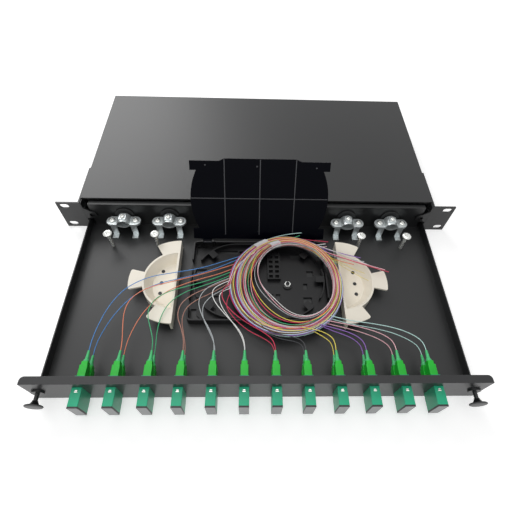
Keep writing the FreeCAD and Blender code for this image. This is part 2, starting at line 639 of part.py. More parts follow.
def adapter(x):
    """A duplex adapter: two ports right through, with a sleeve holder in the middle of each."""
    half_width = ADAPTER_WIDTH / 2
    half_height = ADAPTER_HEIGHT / 2
    front = box(x - half_width, x + half_width, ADAPTER_FRONT_Y, PANEL_FACE_Y - ADAPTER_NECK_LENGTH,
                MID_HEIGHT - half_height, MID_HEIGHT + half_height)
    front = round_edges(front, MOULDED_EDGE, (0, 1, 0))
    half_width -= ADAPTER_STEP
    half_height -= ADAPTER_STEP
    neck = box(x - half_width, x + half_width, PANEL_FACE_Y - ADAPTER_NECK_LENGTH, ADAPTER_REAR_Y,
               MID_HEIGHT - half_height, MID_HEIGHT + half_height)
    body = fuse(front, neck)
    for z in (UPPER_PORT_Z, LOWER_PORT_Z):
        body = body.cut(port_cavity(x, z, ADAPTER_FRONT_Y, ADAPTER_MID_Y - PORT_WALL / 2))
        body = body.cut(port_cavity(x, z, ADAPTER_MID_Y + PORT_WALL / 2, ADAPTER_REAR_Y))
        start = ADAPTER_MID_Y - SLEEVE_LENGTH / 2
        holder = rod(SLEEVE_HOLDER_RADIUS, x, start, z, (0, 1, 0), SLEEVE_LENGTH)
        bore = rod(SLEEVE_RADIUS, x, start, z, (0, 1, 0), SLEEVE_LENGTH)
        body = body.fuse(holder).cut(bore)
    return body


def port_cavity(x, z, y_start, y_end):
    return box(x - PORT_WIDTH / 2, x + PORT_WIDTH / 2, y_start, y_end,
               z - PORT_HEIGHT / 2, z + PORT_HEIGHT / 2)


def adapter_clip(x):
    """The ends of an adapter's spring clip, on top of its neck and under it."""
    half = ADAPTER_HEIGHT / 2 - ADAPTER_STEP
    y_start = PANEL_FACE_Y - ADAPTER_NECK_LENGTH
    y_end = y_start + CLIP_LENGTH
    strips = []
    for side in (-1, 1):
        near = MID_HEIGHT + side * half
        far = near + side * CLIP_SHEET
        low, high = min(near, far), max(near, far)
        strips.append(box(x - CLIP_WIDTH / 2, x + CLIP_WIDTH / 2, y_start, y_end, low, high))
    return strips


def alignment_sleeve(x, z):
    start = ADAPTER_MID_Y - SLEEVE_LENGTH / 2
    outer = rod(SLEEVE_RADIUS, x, start, z, (0, 1, 0), SLEEVE_LENGTH)
    bore = rod(SLEEVE_BORE_RADIUS, x, start, z, (0, 1, 0), SLEEVE_LENGTH)
    return outer.cut(bore)


def connector_housing(x, z):
    """A square plug body with a narrower tail, hollow at the nose round the ferrule."""
    front = CONNECTOR_REAR_Y - CONNECTOR_LENGTH
    body = box(x - CONNECTOR_WIDTH / 2, x + CONNECTOR_WIDTH / 2, front, CONNECTOR_REAR_Y,
               z - CONNECTOR_HEIGHT / 2, z + CONNECTOR_HEIGHT / 2)
    tail = box(x - CONNECTOR_TAIL_WIDTH / 2, x + CONNECTOR_TAIL_WIDTH / 2, CONNECTOR_REAR_Y,
               BOOT_START_Y, z - CONNECTOR_TAIL_HEIGHT / 2, z + CONNECTOR_TAIL_HEIGHT / 2)
    plug = fuse(round_edges(body, MOULDED_EDGE, (0, 1, 0)), round_edges(tail, MOULDED_EDGE, (0, 1, 0)))
    nose = rod(SLEEVE_HOLDER_RADIUS + SLEEVE_HOLDER_GAP, x, front, z, (0, 1, 0), CONNECTOR_INSERTION)
    seat = rod(FERRULE_RADIUS, x, front + CONNECTOR_INSERTION, z, (0, 1, 0), FERRULE_SEAT)
    return cut(plug, nose, seat)


def ferrule(x, z):
    """The ceramic ferrule, from its seat in the plug to the middle of the sleeve."""
    seat_end = CONNECTOR_REAR_Y - CONNECTOR_LENGTH + CONNECTOR_INSERTION + FERRULE_SEAT
    length = seat_end - ADAPTER_MID_Y
    outer = rod(FERRULE_RADIUS, x, ADAPTER_MID_Y, z, (0, 1, 0), length)
    return outer.cut(rod(FERRULE_BORE_RADIUS, x, ADAPTER_MID_Y, z, (0, 1, 0), length))


def connector_boot(x, z):
    base = rod(BOOT_BASE_RADIUS, x, BOOT_START_Y, z, (0, 1, 0), BOOT_COLLAR)
    taper = cone(BOOT_BASE_RADIUS, BOOT_TIP_RADIUS, x, BOOT_START_Y + BOOT_COLLAR, z, (0, 1, 0),
                 BOOT_LENGTH - BOOT_COLLAR)
    return fuse(base, taper)


def dust_cap(x):
    """A duplex cap: one face plate and two plugs in the adapter's front ports."""
    half_width = ADAPTER_WIDTH / 2
    half_height = ADAPTER_HEIGHT / 2
    plate = box(x - half_width, x + half_width, ADAPTER_FRONT_Y - CAP_FLANGE, ADAPTER_FRONT_Y,
                MID_HEIGHT - half_height, MID_HEIGHT + half_height)
    plate = round_edges(plate, MOULDED_EDGE, (0, 1, 0))
    plugs = []
    half_plug = PORT_WIDTH / 2 - CAP_PLUG_GAP
    half_plug_height = PORT_HEIGHT / 2 - CAP_PLUG_GAP
    for z in (UPPER_PORT_Z, LOWER_PORT_Z):
        plug = box(x - half_plug, x + half_plug, ADAPTER_FRONT_Y, ADAPTER_FRONT_Y + CAP_PLUG_LENGTH,
                   z - half_plug_height, z + half_plug_height)
        clear = rod(SLEEVE_HOLDER_RADIUS + SLEEVE_HOLDER_GAP, x, ADAPTER_FRONT_Y, z, (0, 1, 0),
                    CAP_PLUG_LENGTH)
        plugs.append(plug.cut(clear))
    return fuse(plate, *plugs)


# Push latches
def latch_grommet():
    """The right latch's split sleeve: a collar on the panel and a nose through it."""
    bore = STEM_RADIUS + STEM_RUNNING_GAP
    collar = rod(GROMMET_COLLAR_RADIUS, LATCH_X, PANEL_FACE_Y - GROMMET_COLLAR_THICKNESS, MID_HEIGHT,
                 (0, 1, 0), GROMMET_COLLAR_THICKNESS)
    nose = rod(GROMMET_NOSE_RADIUS, LATCH_X, PANEL_FACE_Y, MID_HEIGHT, (0, 1, 0),
               SHEET + GROMMET_NOSE_LENGTH)
    hole = rod(bore, LATCH_X, PANEL_FACE_Y - GROMMET_COLLAR_THICKNESS, MID_HEIGHT, (0, 1, 0),
               GROMMET_COLLAR_THICKNESS + SHEET + GROMMET_NOSE_LENGTH)
    slit = box(LATCH_X - GROMMET_SLIT_WIDTH / 2, LATCH_X + GROMMET_SLIT_WIDTH / 2,
               PANEL_BACK_Y + GROMMET_SLIT_START, PANEL_BACK_Y + GROMMET_NOSE_LENGTH,
               MID_HEIGHT - GROMMET_NOSE_RADIUS, MID_HEIGHT + GROMMET_NOSE_RADIUS)
    return cut(fuse(collar, nose), hole, slit)


def latch_plunger():
    """The right plunger, drawn pulled out: thin stem, waisted neck, flared head and flat disc."""
    disc_back = PANEL_FACE_Y - PLUNGER_REACH + PLUNGER_DISC_THICKNESS
    cone_end = disc_back + PLUNGER_CONE_LENGTH
    stem_end = PANEL_BACK_Y + GROMMET_NOSE_LENGTH - PLUNGER_STROKE
    disc = rod(PLUNGER_DISC_RADIUS, LATCH_X, disc_back, MID_HEIGHT, (0, -1, 0), PLUNGER_DISC_THICKNESS)
    disc = disc.makeFillet(PLUNGER_DISC_EDGE, [edge for edge in disc.Edges
                                               if edge.Curve.TypeId == "Part::GeomCircle"])
    flare = cone(PLUNGER_CONE_RADIUS, PLUNGER_NECK_RADIUS, LATCH_X, disc_back, MID_HEIGHT,
                 (0, 1, 0), PLUNGER_CONE_LENGTH)
    neck_end = PANEL_FACE_Y - GROMMET_COLLAR_THICKNESS - PLUNGER_STROKE - PLUNGER_STOP_GAP
    rings = []
    if neck_end > cone_end:
        rings.append(rod(PLUNGER_NECK_RADIUS, LATCH_X, cone_end, MID_HEIGHT, (0, 1, 0),
                         neck_end - cone_end))
    stem = rod(STEM_RADIUS, LATCH_X, disc_back, MID_HEIGHT, (0, 1, 0), stem_end - disc_back)
    return fuse(disc, flare, stem, *rings)


# Cable entries
def cable_grommet(x):
    front = rod(CABLE_GROMMET_RADIUS, x, REAR_WALL_FRONT - CABLE_GROMMET_LIP, MID_HEIGHT, (0, 1, 0),
                CABLE_GROMMET_LIP)
    back = rod(CABLE_GROMMET_RADIUS, x, REAR_WALL_BACK, MID_HEIGHT, (0, 1, 0), CABLE_GROMMET_LIP)
    groove = rod(CABLE_GROMMET_GROOVE_RADIUS, x, REAR_WALL_FRONT, MID_HEIGHT, (0, 1, 0), SHEET)
    bore = rod(CABLE_GROMMET_BORE, x, REAR_WALL_FRONT - CABLE_GROMMET_LIP, MID_HEIGHT, (0, 1, 0),
               SHEET + 2 * CABLE_GROMMET_LIP)
    return cut(fuse(front, back, groove), bore)


def clamp_screw_x(x):
    reach = CLAMP_REACH - CLAMP_DEPTH / 2
    return (x - reach, x + reach)


def round_ended_plate(x, z, thickness):
    """A level plate with half round ends, on the clamp's centre."""
    radius = CLAMP_DEPTH / 2
    reach = CLAMP_REACH - radius
    middle = box(x - reach, x + reach, CLAMP_MID_Y - radius, CLAMP_REAR_Y, z, z + thickness)
    ends = [rod(radius, x + side * reach, CLAMP_MID_Y, z, (0, 0, 1), thickness) for side in (-1, 1)]
    return fuse(middle, *ends)


def clamp_bracket(x):
    """The table under a clamp: a plate with a shallow cradle, on two legs with feet turned forward."""
    front = CLAMP_MID_Y - CLAMP_DEPTH / 2
    outer_radius = CRADLE_RADIUS + CLAMP_PLATE
    cradle = rod(outer_radius, x, front, CRADLE_CENTRE_Z, (0, 1, 0), CLAMP_DEPTH)
    above = box(x - outer_radius, x + outer_radius, front, CLAMP_REAR_Y,
                TABLE_TOP, TABLE_TOP + 2 * outer_radius)
    way = rod(CRADLE_RADIUS, x, front, CRADLE_CENTRE_Z, (0, 1, 0), CLAMP_DEPTH)
    shapes = [round_ended_plate(x, TABLE_TOP - CLAMP_PLATE, CLAMP_PLATE), cradle.cut(above)]
    for side in (-1, 1):
        inner = x + side * CLAMP_LEG_INNER
        outer = inner + side * CLAMP_LEG_WIDTH
        low, high = min(inner, outer), max(inner, outer)
        shapes.append(box(low, high, front, front + CLAMP_PLATE, FLOOR_TOP, TABLE_TOP))
        shapes.append(box(low, high, front - CLAMP_FOOT_LENGTH + CLAMP_PLATE, front + CLAMP_PLATE,
                          FLOOR_TOP, FLOOR_TOP + CLAMP_PLATE))
    holes = [rod(CLAMP_SCREW_RADIUS, sx, CLAMP_MID_Y, FLOOR_TOP + CLAMP_PLATE, (0, 0, 1), TABLE_TOP)
             for sx in clamp_screw_x(x)]
    return cut(fuse(*shapes), way, *holes)


def clamp_saddle(x):
    """The saddle: flat lobes with an arch between them that goes over the cable."""
    front = CLAMP_MID_Y - CLAMP_DEPTH / 2
    plate = round_ended_plate(x, TABLE_TOP, CLAMP_PLATE)
    arch = rod(ARCH_OUTER, x, front, TABLE_TOP, (0, 1, 0), CLAMP_DEPTH)
    below = box(x - ARCH_OUTER, x + ARCH_OUTER, front, CLAMP_REAR_Y, TABLE_TOP - ARCH_OUTER, TABLE_TOP)
    boss = box(x - SADDLE_BOSS_HALF, x + SADDLE_BOSS_HALF, CLAMP_MID_Y - SADDLE_BOSS_HALF,
               CLAMP_MID_Y + SADDLE_BOSS_HALF, TABLE_TOP + SADDLE_ARCH_RADIUS,
               TABLE_TOP + ARCH_OUTER + SADDLE_BOSS_HEIGHT)
    way = rod(SADDLE_ARCH_RADIUS, x, front, TABLE_TOP, (0, 1, 0), CLAMP_DEPTH)
    holes = [rod(CLAMP_SCREW_RADIUS, sx, CLAMP_MID_Y, TABLE_TOP, (0, 0, 1), CLAMP_PLATE)
             for sx in clamp_screw_x(x)]
    holes.append(rod(CENTRE_SCREW_RADIUS, x, CLAMP_MID_Y, TABLE_TOP, (0, 0, 1), 2 * ARCH_OUTER))
    return cut(fuse(plate, arch.cut(below), boss), way, *holes)


def upright_screw(x, y, z, shank_radius, shank_length, head_radius, head_height):
    """A pan head screw with its head's underside at z."""
    head = rod(head_radius, x, y, z, (0, 0, 1), head_height)
    top = [edge for edge in head.Edges
           if edge.Curve.TypeId == "Part::GeomCircle" and edge.Curve.Center.z > z + head_height / 2]
    head = head.makeFillet(head_height * HEAD_ROUNDING, top)
    return fuse(head, rod(shank_radius, x, y, z - shank_length, (0, 0, 1), shank_length))


def clamp_screws(x):
    screws = [upright_screw(sx, CLAMP_MID_Y, SADDLE_TOP, CLAMP_SCREW_RADIUS, CLAMP_SCREW_LENGTH,
                            CLAMP_SCREW_HEAD_RADIUS, CLAMP_SCREW_HEAD_HEIGHT)
              for sx in clamp_screw_x(x)]
    centre_z = TABLE_TOP + ARCH_OUTER + SADDLE_BOSS_HEIGHT
    screws.append(upright_screw(x, CLAMP_MID_Y, centre_z, CENTRE_SCREW_RADIUS, CENTRE_SCREW_LENGTH,
                                CENTRE_SCREW_HEAD_RADIUS, CLAMP_SCREW_HEAD_HEIGHT))
    return screws


def anchor_bolt(x):
    return upright_screw(x, ANCHOR_Y, FLOOR_TOP + ANCHOR_HEIGHT, ANCHOR_RADIUS,
                         ANCHOR_HEIGHT + SHEET, ANCHOR_HEAD_RADIUS, ANCHOR_HEAD_HEIGHT)


# Splice tray
def stadium(radius, z, height):
    """Two half discs joined by a straight middle, as fibre storage trays have."""
    middle = box(-RING_CENTRE_X, RING_CENTRE_X, TRAY_MID_Y - radius, TRAY_MID_Y + radius, z, z + height)
    ends = [rod(radius, side * RING_CENTRE_X, TRAY_MID_Y, z, (0, 0, 1), height) for side in (-1, 1)]
    return fuse(middle, *ends)


def tray_shell():
    outer = box(-TRAY_HALF_WIDTH, TRAY_HALF_WIDTH, TRAY_FRONT_Y, TRAY_REAR_Y, FLOOR_TOP, TRAY_TOP)
    outer = round_edges(outer, TRAY_CORNER_RADIUS, (0, 0, 1))
    wall = TRAY_WALL
    inside = box(-TRAY_HALF_WIDTH + wall, TRAY_HALF_WIDTH - wall, TRAY_FRONT_Y + wall, TRAY_REAR_Y - wall,
                 TRAY_FLOOR_TOP, TRAY_TOP)
    inside = round_edges(inside, TRAY_CORNER_RADIUS - wall, (0, 0, 1))
    under = box(-TRAY_HALF_WIDTH + wall, TRAY_HALF_WIDTH - wall, TRAY_FRONT_Y + wall, TRAY_REAR_Y - wall,
                FLOOR_TOP, FLOOR_TOP + TRAY_FLOOR_CLEARANCE)
    return cut(outer, inside, under)


def ring_wall():
    """The upright wall round the storage space, with gaps where fibres come in."""
    height = TRAY_TOP - RING_TOP_DROP - TRAY_FLOOR_TOP
    wall = stadium(RING_RADIUS, TRAY_FLOOR_TOP, height).cut(
        stadium(RING_RADIUS - RING_WALL, TRAY_FLOOR_TOP, height))
    return cut(wall, *entry_cuts(RING_CENTRE_X + RING_RADIUS / 2, RING_CENTRE_X + RING_RADIUS))


def entry_cuts(x_start, x_end):
    """What to cut away for the fibre entries, between two distances from the middle."""
    cuts = []
    for start, end in TRAY_ENTRIES:
        right = box(x_start, x_end, TRAY_REAR_Y - end, TRAY_REAR_Y - start, TRAY_FLOOR_TOP, TRAY_TOP)
        cuts += [right, mirror_x(right)]
    return cuts


def ring_tabs():
    """Flat tabs at the top of the ring wall that keep the fibre down."""
    z = TRAY_TOP - RING_TOP_DROP - RING_TAB_THICKNESS
    tabs = []
    for side in (-1, 1):
        for degrees in RING_TAB_ANGLES:
            tab = box(RING_RADIUS - RING_WALL - RING_TAB_LENGTH, RING_RADIUS - RING_WALL / 2,
                      -RING_TAB_WIDTH / 2, RING_TAB_WIDTH / 2, z, z + RING_TAB_THICKNESS)
            tab.rotate(Vec(0, 0, 0), Vec(0, 0, 1), degrees)
            tab.translate(Vec(RING_CENTRE_X, TRAY_MID_Y, 0))
            tabs.append(tab if side > 0 else mirror_x(tab))
    return tabs


def corner_windows():
    """Triangular openings in the tray's floor, outside the ring wall, at its four corners."""
    inset = TRAY_WALL + CORNER_WINDOW_INSET
    leg = CORNER_WINDOW_LEG
    windows = []
    for side in (-1, 1):
        for y_edge, turn in ((TRAY_REAR_Y, -1), (TRAY_FRONT_Y, 1)):
            x = side * (TRAY_HALF_WIDTH - inset)
            y = y_edge + turn * inset
            windows.append(prism([(x, y, FLOOR_TOP), (x - side * leg, y, FLOOR_TOP),
                                  (x, y + turn * leg, FLOOR_TOP)], (0, 0, TRAY_HEIGHT / 2)))
    return windows


def floor_windows():
    return [box(low, high, TRAY_REAR_Y - end, TRAY_REAR_Y - start, FLOOR_TOP, TRAY_FLOOR_TOP)
            for low, high, start, end in TRAY_WINDOWS]


def hinge_lug(x_start):
    """One ear of the hinge, standing on the tray's rear wall."""
    eye = rod(LUG_RADIUS, x_start, HINGE_Y, HINGE_Z, (1, 0, 0), LUG_LENGTH)
    foot = box(x_start, x_start + LUG_LENGTH, HINGE_Y - LUG_RADIUS, TRAY_REAR_Y,
               TRAY_FLOOR_TOP, HINGE_Z)
    return fuse(eye, foot)


def splice_tray():
    wall_cuts = entry_cuts(TRAY_HALF_WIDTH - TRAY_WALL, TRAY_HALF_WIDTH)
    shell = cut(tray_shell(), *(wall_cuts + corner_windows() + floor_windows()))
    bosses = [rod(STUD_BOSS_RADIUS, side * STUD_X, STUD_Y, FLOOR_TOP, (0, 0, 1), STUD_BOSS_HEIGHT)
              for side in (-1, 1)]
    lugs = []
    for side in (-1, 1):
        near = KNUCKLE_HALF_LENGTH + KNUCKLE_SIDE_GAP
        lugs.append(hinge_lug(side * HINGE_X + near))
        lugs.append(hinge_lug(side * HINGE_X - near - LUG_LENGTH))
    tray = fuse(shell, ring_wall(), *(ring_tabs() + bosses + lugs))
    holes = [rod(STUD_RADIUS, side * STUD_X, STUD_Y, FLOOR_TOP, (0, 0, 1), STUD_BOSS_HEIGHT)
             for side in (-1, 1)]
    return cut(tray, *(holes + [hinge_pin(side * HINGE_X) for side in (-1, 1)] + knuckle_reliefs()))


def knuckle_reliefs():
    """Room in the tray's rear wall for the lid's knuckles to turn in."""
    radius = KNUCKLE_RADIUS + KNUCKLE_SIDE_GAP
    reach = KNUCKLE_HALF_LENGTH + KNUCKLE_SIDE_GAP
    return [rod(radius, side * HINGE_X - reach, HINGE_Y, HINGE_Z, (1, 0, 0), 2 * reach)
            for side in (-1, 1)]


def splice_comb(x):
    """A block with two rows of slots that hold the splice protectors."""
    length = COMB_ROWS * COMB_PITCH
    block = box(x - COMB_HALF_WIDTH, x + COMB_HALF_WIDTH, COMB_REAR_Y - length, COMB_REAR_Y,
                TRAY_FLOOR_TOP, TRAY_FLOOR_TOP + COMB_HEIGHT)
    slots = []
    for row in range(COMB_ROWS):
        y = COMB_REAR_Y - COMB_PITCH * (row + 0.5)
        for side in (-1, 1):
            sx = x + side * COMB_SLOT_X
            slots.append(box(sx - COMB_SLOT_WIDTH / 2, sx + COMB_SLOT_WIDTH / 2,
                             y - COMB_SLOT_LENGTH / 2, y + COMB_SLOT_LENGTH / 2,
                             TRAY_FLOOR_TOP + COMB_SLOT_FLOOR, TRAY_FLOOR_TOP + COMB_HEIGHT))
    return cut(block, *slots)


def tray_stud(x):
    return rod(STUD_RADIUS, x, STUD_Y, FLOOR_BOTTOM, (0, 0, 1),
               STUD_BOSS_TOP + STUD_TOP_REACH - FLOOR_BOTTOM)


def tray_nut(x):
    nut = hexagon(NUT_FLATS, x, STUD_Y, STUD_BOSS_TOP, NUT_HEIGHT)
    return nut.cut(rod(STUD_RADIUS, x, STUD_Y, STUD_BOSS_TOP, (0, 0, 1), NUT_HEIGHT))


# Lid
def hinge_pin(x):
    reach = KNUCKLE_HALF_LENGTH + KNUCKLE_SIDE_GAP + LUG_LENGTH
    return rod(HINGE_PIN_RADIUS, x - reach, HINGE_Y, HINGE_Z, (1, 0, 0), 2 * reach)


def lid_outline():
    """The lid's outline as distances across and from the hinge, with bowed sides."""
    def point(across, out):
        return Vec(across, HINGE_Y - out, HINGE_Z - LID_THICKNESS / 2)

    half = [(LID_BAND_HALF_WIDTH, LID_START), (LID_BAND_HALF_WIDTH, LID_BAND_END),
            (LID_WAIST_HALF_WIDTH, LID_BAND_END)]
    upper = [(LID_TAB_NECK_HALF_WIDTH, LID_TAB_START), (LID_TAB_HALF_WIDTH, LID_TAB_START),
             (LID_TAB_HALF_WIDTH, LID_TAB_END), (LID_SHOULDER_HALF_WIDTH, LID_TAB_END),
             (LID_CROWN_HALF_WIDTH, LID_LENGTH)]
    edges = []

    def chain(side, corners):
        points = [point(side * across, out) for across, out in corners]
        for start, end in zip(points, points[1:]):
            edges.append(Part.LineSegment(start, end).toShape())

    for side in (1, -1):
        chain(side, half)
        edges.append(Part.Arc(point(side * LID_WAIST_HALF_WIDTH, LID_BAND_END),
                              point(side * LID_BULGE_HALF_WIDTH, LID_BULGE_AT),
                              point(side * LID_TAB_NECK_HALF_WIDTH, LID_TAB_START)).toShape())
        chain(side, upper)
    edges.append(Part.LineSegment(point(LID_CROWN_HALF_WIDTH, LID_LENGTH),
                                  point(-LID_CROWN_HALF_WIDTH, LID_LENGTH)).toShape())
    edges.append(Part.LineSegment(point(LID_BAND_HALF_WIDTH, LID_START),
                                  point(-LID_BAND_HALF_WIDTH, LID_START)).toShape())
    return Part.Wire(Part.__sortEdges__(edges))


def splice_lid():
    """The lid is drawn lying flat and then swung open about its hinge."""
    plate = Part.Face(lid_outline()).extrude(Vec(0, 0, LID_THICKNESS))
    low = HINGE_Z - LID_THICKNESS / 2 - LID_RIB_HEIGHT
    high = HINGE_Z
    half_rib = LID_RIB_WIDTH / 2
    ribs = []
    for x in (-LID_RIB_X, 0, LID_RIB_X):
        ribs.append(box(x - half_rib, x + half_rib, HINGE_Y - LID_LENGTH + LID_RIB_FRONT_GAP,
                        HINGE_Y - LID_START - LID_RIB_HINGE_GAP, low, high))
    reach = LID_BULGE_HALF_WIDTH - LID_RIB_SIDE_GAP
    ribs.append(box(-reach, reach, HINGE_Y - LID_RIB_AT - half_rib, HINGE_Y - LID_RIB_AT + half_rib,
                    low, high))
    for across, from_front in LID_DOTS:
        dot_y = HINGE_Y - LID_LENGTH + from_front
        ribs.append(rod(LID_DOT_RADIUS, across, dot_y, low, (0, 0, 1), high - low))
    knuckles = []
    bores = []
    for side in (-1, 1):
        start = side * HINGE_X - KNUCKLE_HALF_LENGTH
        length = 2 * KNUCKLE_HALF_LENGTH
        knuckles.append(rod(KNUCKLE_RADIUS, start, HINGE_Y, HINGE_Z, (1, 0, 0), length))
        knuckles.append(box(start, start + length, HINGE_Y - LID_START - KNUCKLE_WEB_REACH,
                            HINGE_Y - KNUCKLE_RADIUS / 2, HINGE_Z - LID_THICKNESS / 2,
                            HINGE_Z + LID_THICKNESS / 2))
        bores.append(rod(HINGE_PIN_RADIUS + HINGE_RUNNING_GAP, start, HINGE_Y, HINGE_Z, (1, 0, 0), length))
    lid = cut(fuse(plate, *(ribs + knuckles)), *bores)
    lid.rotate(Vec(0, HINGE_Y, HINGE_Z), Vec(1, 0, 0), -LID_OPEN_ANGLE)
    return lid


# Fibre guides
def guide_hole_places():
    places = []
    for side in (-1, 1):
        for step in GUIDE_HOLE_STEPS:
            places.append((side * (GUIDE_X + GUIDE_HOLE_INSET), GUIDE_Y + step))
    return places


def guide_tab(start_degrees, end_degrees):
    """A flat sector outside the rim, with angles counted from +Y towards +X."""
    outer = rod(GUIDE_TAB_RADIUS, GUIDE_X, GUIDE_Y, GUIDE_TOP - GUIDE_TAB_THICKNESS, (0, 0, 1),
                GUIDE_TAB_THICKNESS)
    far = 2 * GUIDE_TAB_RADIUS
    corners = [(GUIDE_X, GUIDE_Y)]
    for degrees in (start_degrees, (start_degrees + end_degrees) / 2, end_degrees):
        turn = math.radians(degrees)
        corners.append((GUIDE_X + far * math.sin(turn), GUIDE_Y + far * math.cos(turn)))
    wedge = prism([(x, y, GUIDE_TOP - GUIDE_TAB_THICKNESS) for x, y in corners],
                  (0, 0, GUIDE_TAB_THICKNESS))
    inner = rod(GUIDE_RADIUS - GUIDE_RIM / 2, GUIDE_X, GUIDE_Y, GUIDE_TOP - GUIDE_TAB_THICKNESS,
                (0, 0, 1), GUIDE_TAB_THICKNESS)
    tab = outer.common(wedge).cut(inner)
    tips = []
    for edge in tab.Edges:
        if edge.Curve.TypeId == "Part::GeomLine" and abs(edge.Length - GUIDE_TAB_THICKNESS) < 1e-6:
            place = edge.CenterOfMass
            if math.hypot(place.x - GUIDE_X, place.y - GUIDE_Y) > GUIDE_TAB_RADIUS - 1:
                tips.append(edge)
    return tab.makeFillet(GUIDE_TAB_ROUNDING, tips)


def fibre_guide():
    """The right guide: a half round dish with a straight wall towards the middle and three tabs."""
    wall_reach = GUIDE_TAB_RADIUS
    half_space = box(GUIDE_X, GUIDE_X + GUIDE_TAB_RADIUS, GUIDE_Y - GUIDE_TAB_RADIUS,
                     GUIDE_Y + GUIDE_TAB_RADIUS, FLOOR_TOP, GUIDE_TOP)
    body = rod(GUIDE_RADIUS, GUIDE_X, GUIDE_Y, FLOOR_TOP, (0, 0, 1), GUIDE_HEIGHT).common(half_space)
    bowl_bottom = FLOOR_TOP + GUIDE_FLOOR
    bowl = cone(GUIDE_BOWL_FLOOR_RADIUS, GUIDE_RADIUS - GUIDE_RIM, GUIDE_X, GUIDE_Y, bowl_bottom,
                (0, 0, 1), GUIDE_TOP - bowl_bottom)
    beyond_wall = box(GUIDE_X + GUIDE_STRAIGHT_WALL, GUIDE_X + GUIDE_TAB_RADIUS,
                      GUIDE_Y - GUIDE_TAB_RADIUS, GUIDE_Y + GUIDE_TAB_RADIUS, FLOOR_TOP, GUIDE_TOP)
    wall = box(GUIDE_X, GUIDE_X + GUIDE_STRAIGHT_WALL, GUIDE_Y - wall_reach, GUIDE_Y + wall_reach,
               FLOOR_TOP, GUIDE_TOP)
    tabs = [guide_tab(start, end) for start, end in GUIDE_TABS]
    guide = fuse(body.cut(bowl.common(beyond_wall)), wall, *tabs)
    holes = [rod(GUIDE_HOLE_RADIUS, x, y, FLOOR_TOP, (0, 0, 1), GUIDE_FLOOR)
             for x, y in guide_hole_places() if x > 0]
    return cut(guide, *holes)


def guide_rivet(x, y):
    """A blind rivet through the guide's floor and the drawer's floor."""
    top = FLOOR_TOP + GUIDE_FLOOR
    shank = rod(GUIDE_HOLE_RADIUS, x, y, FLOOR_BOTTOM, (0, 0, 1), top - FLOOR_BOTTOM)
    return fuse(shank, rod(GUIDE_RIVET_HEAD_RADIUS, x, y, top, (0, 0, 1), GUIDE_RIVET_HEAD))


# Fibre
def ellipse_disc(x, y, half_width, half_depth, z, height):
    if half_width >= half_depth:
        curve = Part.Ellipse(Vec(x, y, z), half_width, half_depth)
    else:
        curve = Part.Ellipse(Vec(x, y + half_depth, z), Vec(x + half_width, y, z), Vec(x, y, z))
    return Part.Face(Part.Wire(curve.toShape())).extrude(Vec(0, 0, height))


def fibre_coil():
    """The outer shape of the loose coil: an oval ring whose top slopes down to the front."""
    height = COIL_TOP_REAR - COIL_BOTTOM
    ring = ellipse_disc(COIL_X, COIL_Y, COIL_HALF_WIDTH, COIL_HALF_DEPTH, COIL_BOTTOM, height)
    hole = ellipse_disc(COIL_HOLE_X, COIL_HOLE_Y, COIL_HOLE_HALF_WIDTH, COIL_HOLE_HALF_DEPTH,
                        COIL_BOTTOM, height)
    rear = COIL_Y + COIL_HALF_DEPTH
    front = COIL_Y - COIL_HALF_DEPTH
    left = COIL_X - COIL_HALF_WIDTH
    above = prism([(left, rear, COIL_TOP_REAR), (left, front, COIL_TOP_FRONT),
                   (left, front, COIL_TOP_REAR)], (2 * COIL_HALF_WIDTH, 0, 0))
    over_guide = box(GUIDE_X - COIL_GUIDE_GAP, GUIDE_X + COIL_HALF_WIDTH, front, rear,
                     FLOOR_TOP, GUIDE_TOP + COIL_GUIDE_GAP)
    return cut(ring, hole, above, over_guide)


def route_wire(points):
    """Straight runs joined by tangent arcs, each as large as its two runs allow."""
    corners = [Vec(*p) for p in points]
    edges = []
    radii = []
    here = corners[0]
    for before, corner, after in zip(corners, corners[1:], corners[2:]):
        run_in = corner - before
        run_out = after - corner
        turn = run_in.getAngle(run_out)
        setback = BEND_SHARE * min(run_in.Length, run_out.Length)
        radii.append(setback / math.tan(turn / 2))
        direction_in = Vec(run_in).normalize()
        direction_out = Vec(run_out).normalize()
        start = corner - direction_in * setback
        end = corner + direction_out * setback
        inward = (direction_out - direction_in).normalize()
        reach = radii[-1] / math.cos(turn / 2) - radii[-1]
        edges.append(Part.LineSegment(here, start).toShape())
        edges.append(Part.Arc(start, corner + inward * reach, end).toShape())
        here = end
    edges.append(Part.LineSegment(here, corners[-1]).toShape())
    return Part.Wire(edges), radii


def pigtail(points):
    wire, radii = route_wire(points)
    start = Vec(*points[0])
    along = Vec(*points[1]) - start
    section = Part.Wire(Part.makeCircle(FIBRE_RADIUS, start, along))
    tube = wire.makePipeShell([section], True, False)
    expected = math.pi * FIBRE_RADIUS ** 2 * wire.Length
    return tube, min(radii), wire.Length, tube.Volume / expected


def outside_coil(tube, coil, start):
    """The tube up to the place where it goes into the coil."""
    pieces = tube.cut(coil).Solids
    return min(pieces, key=lambda piece: piece.distToShape(Part.Vertex(start))[0])


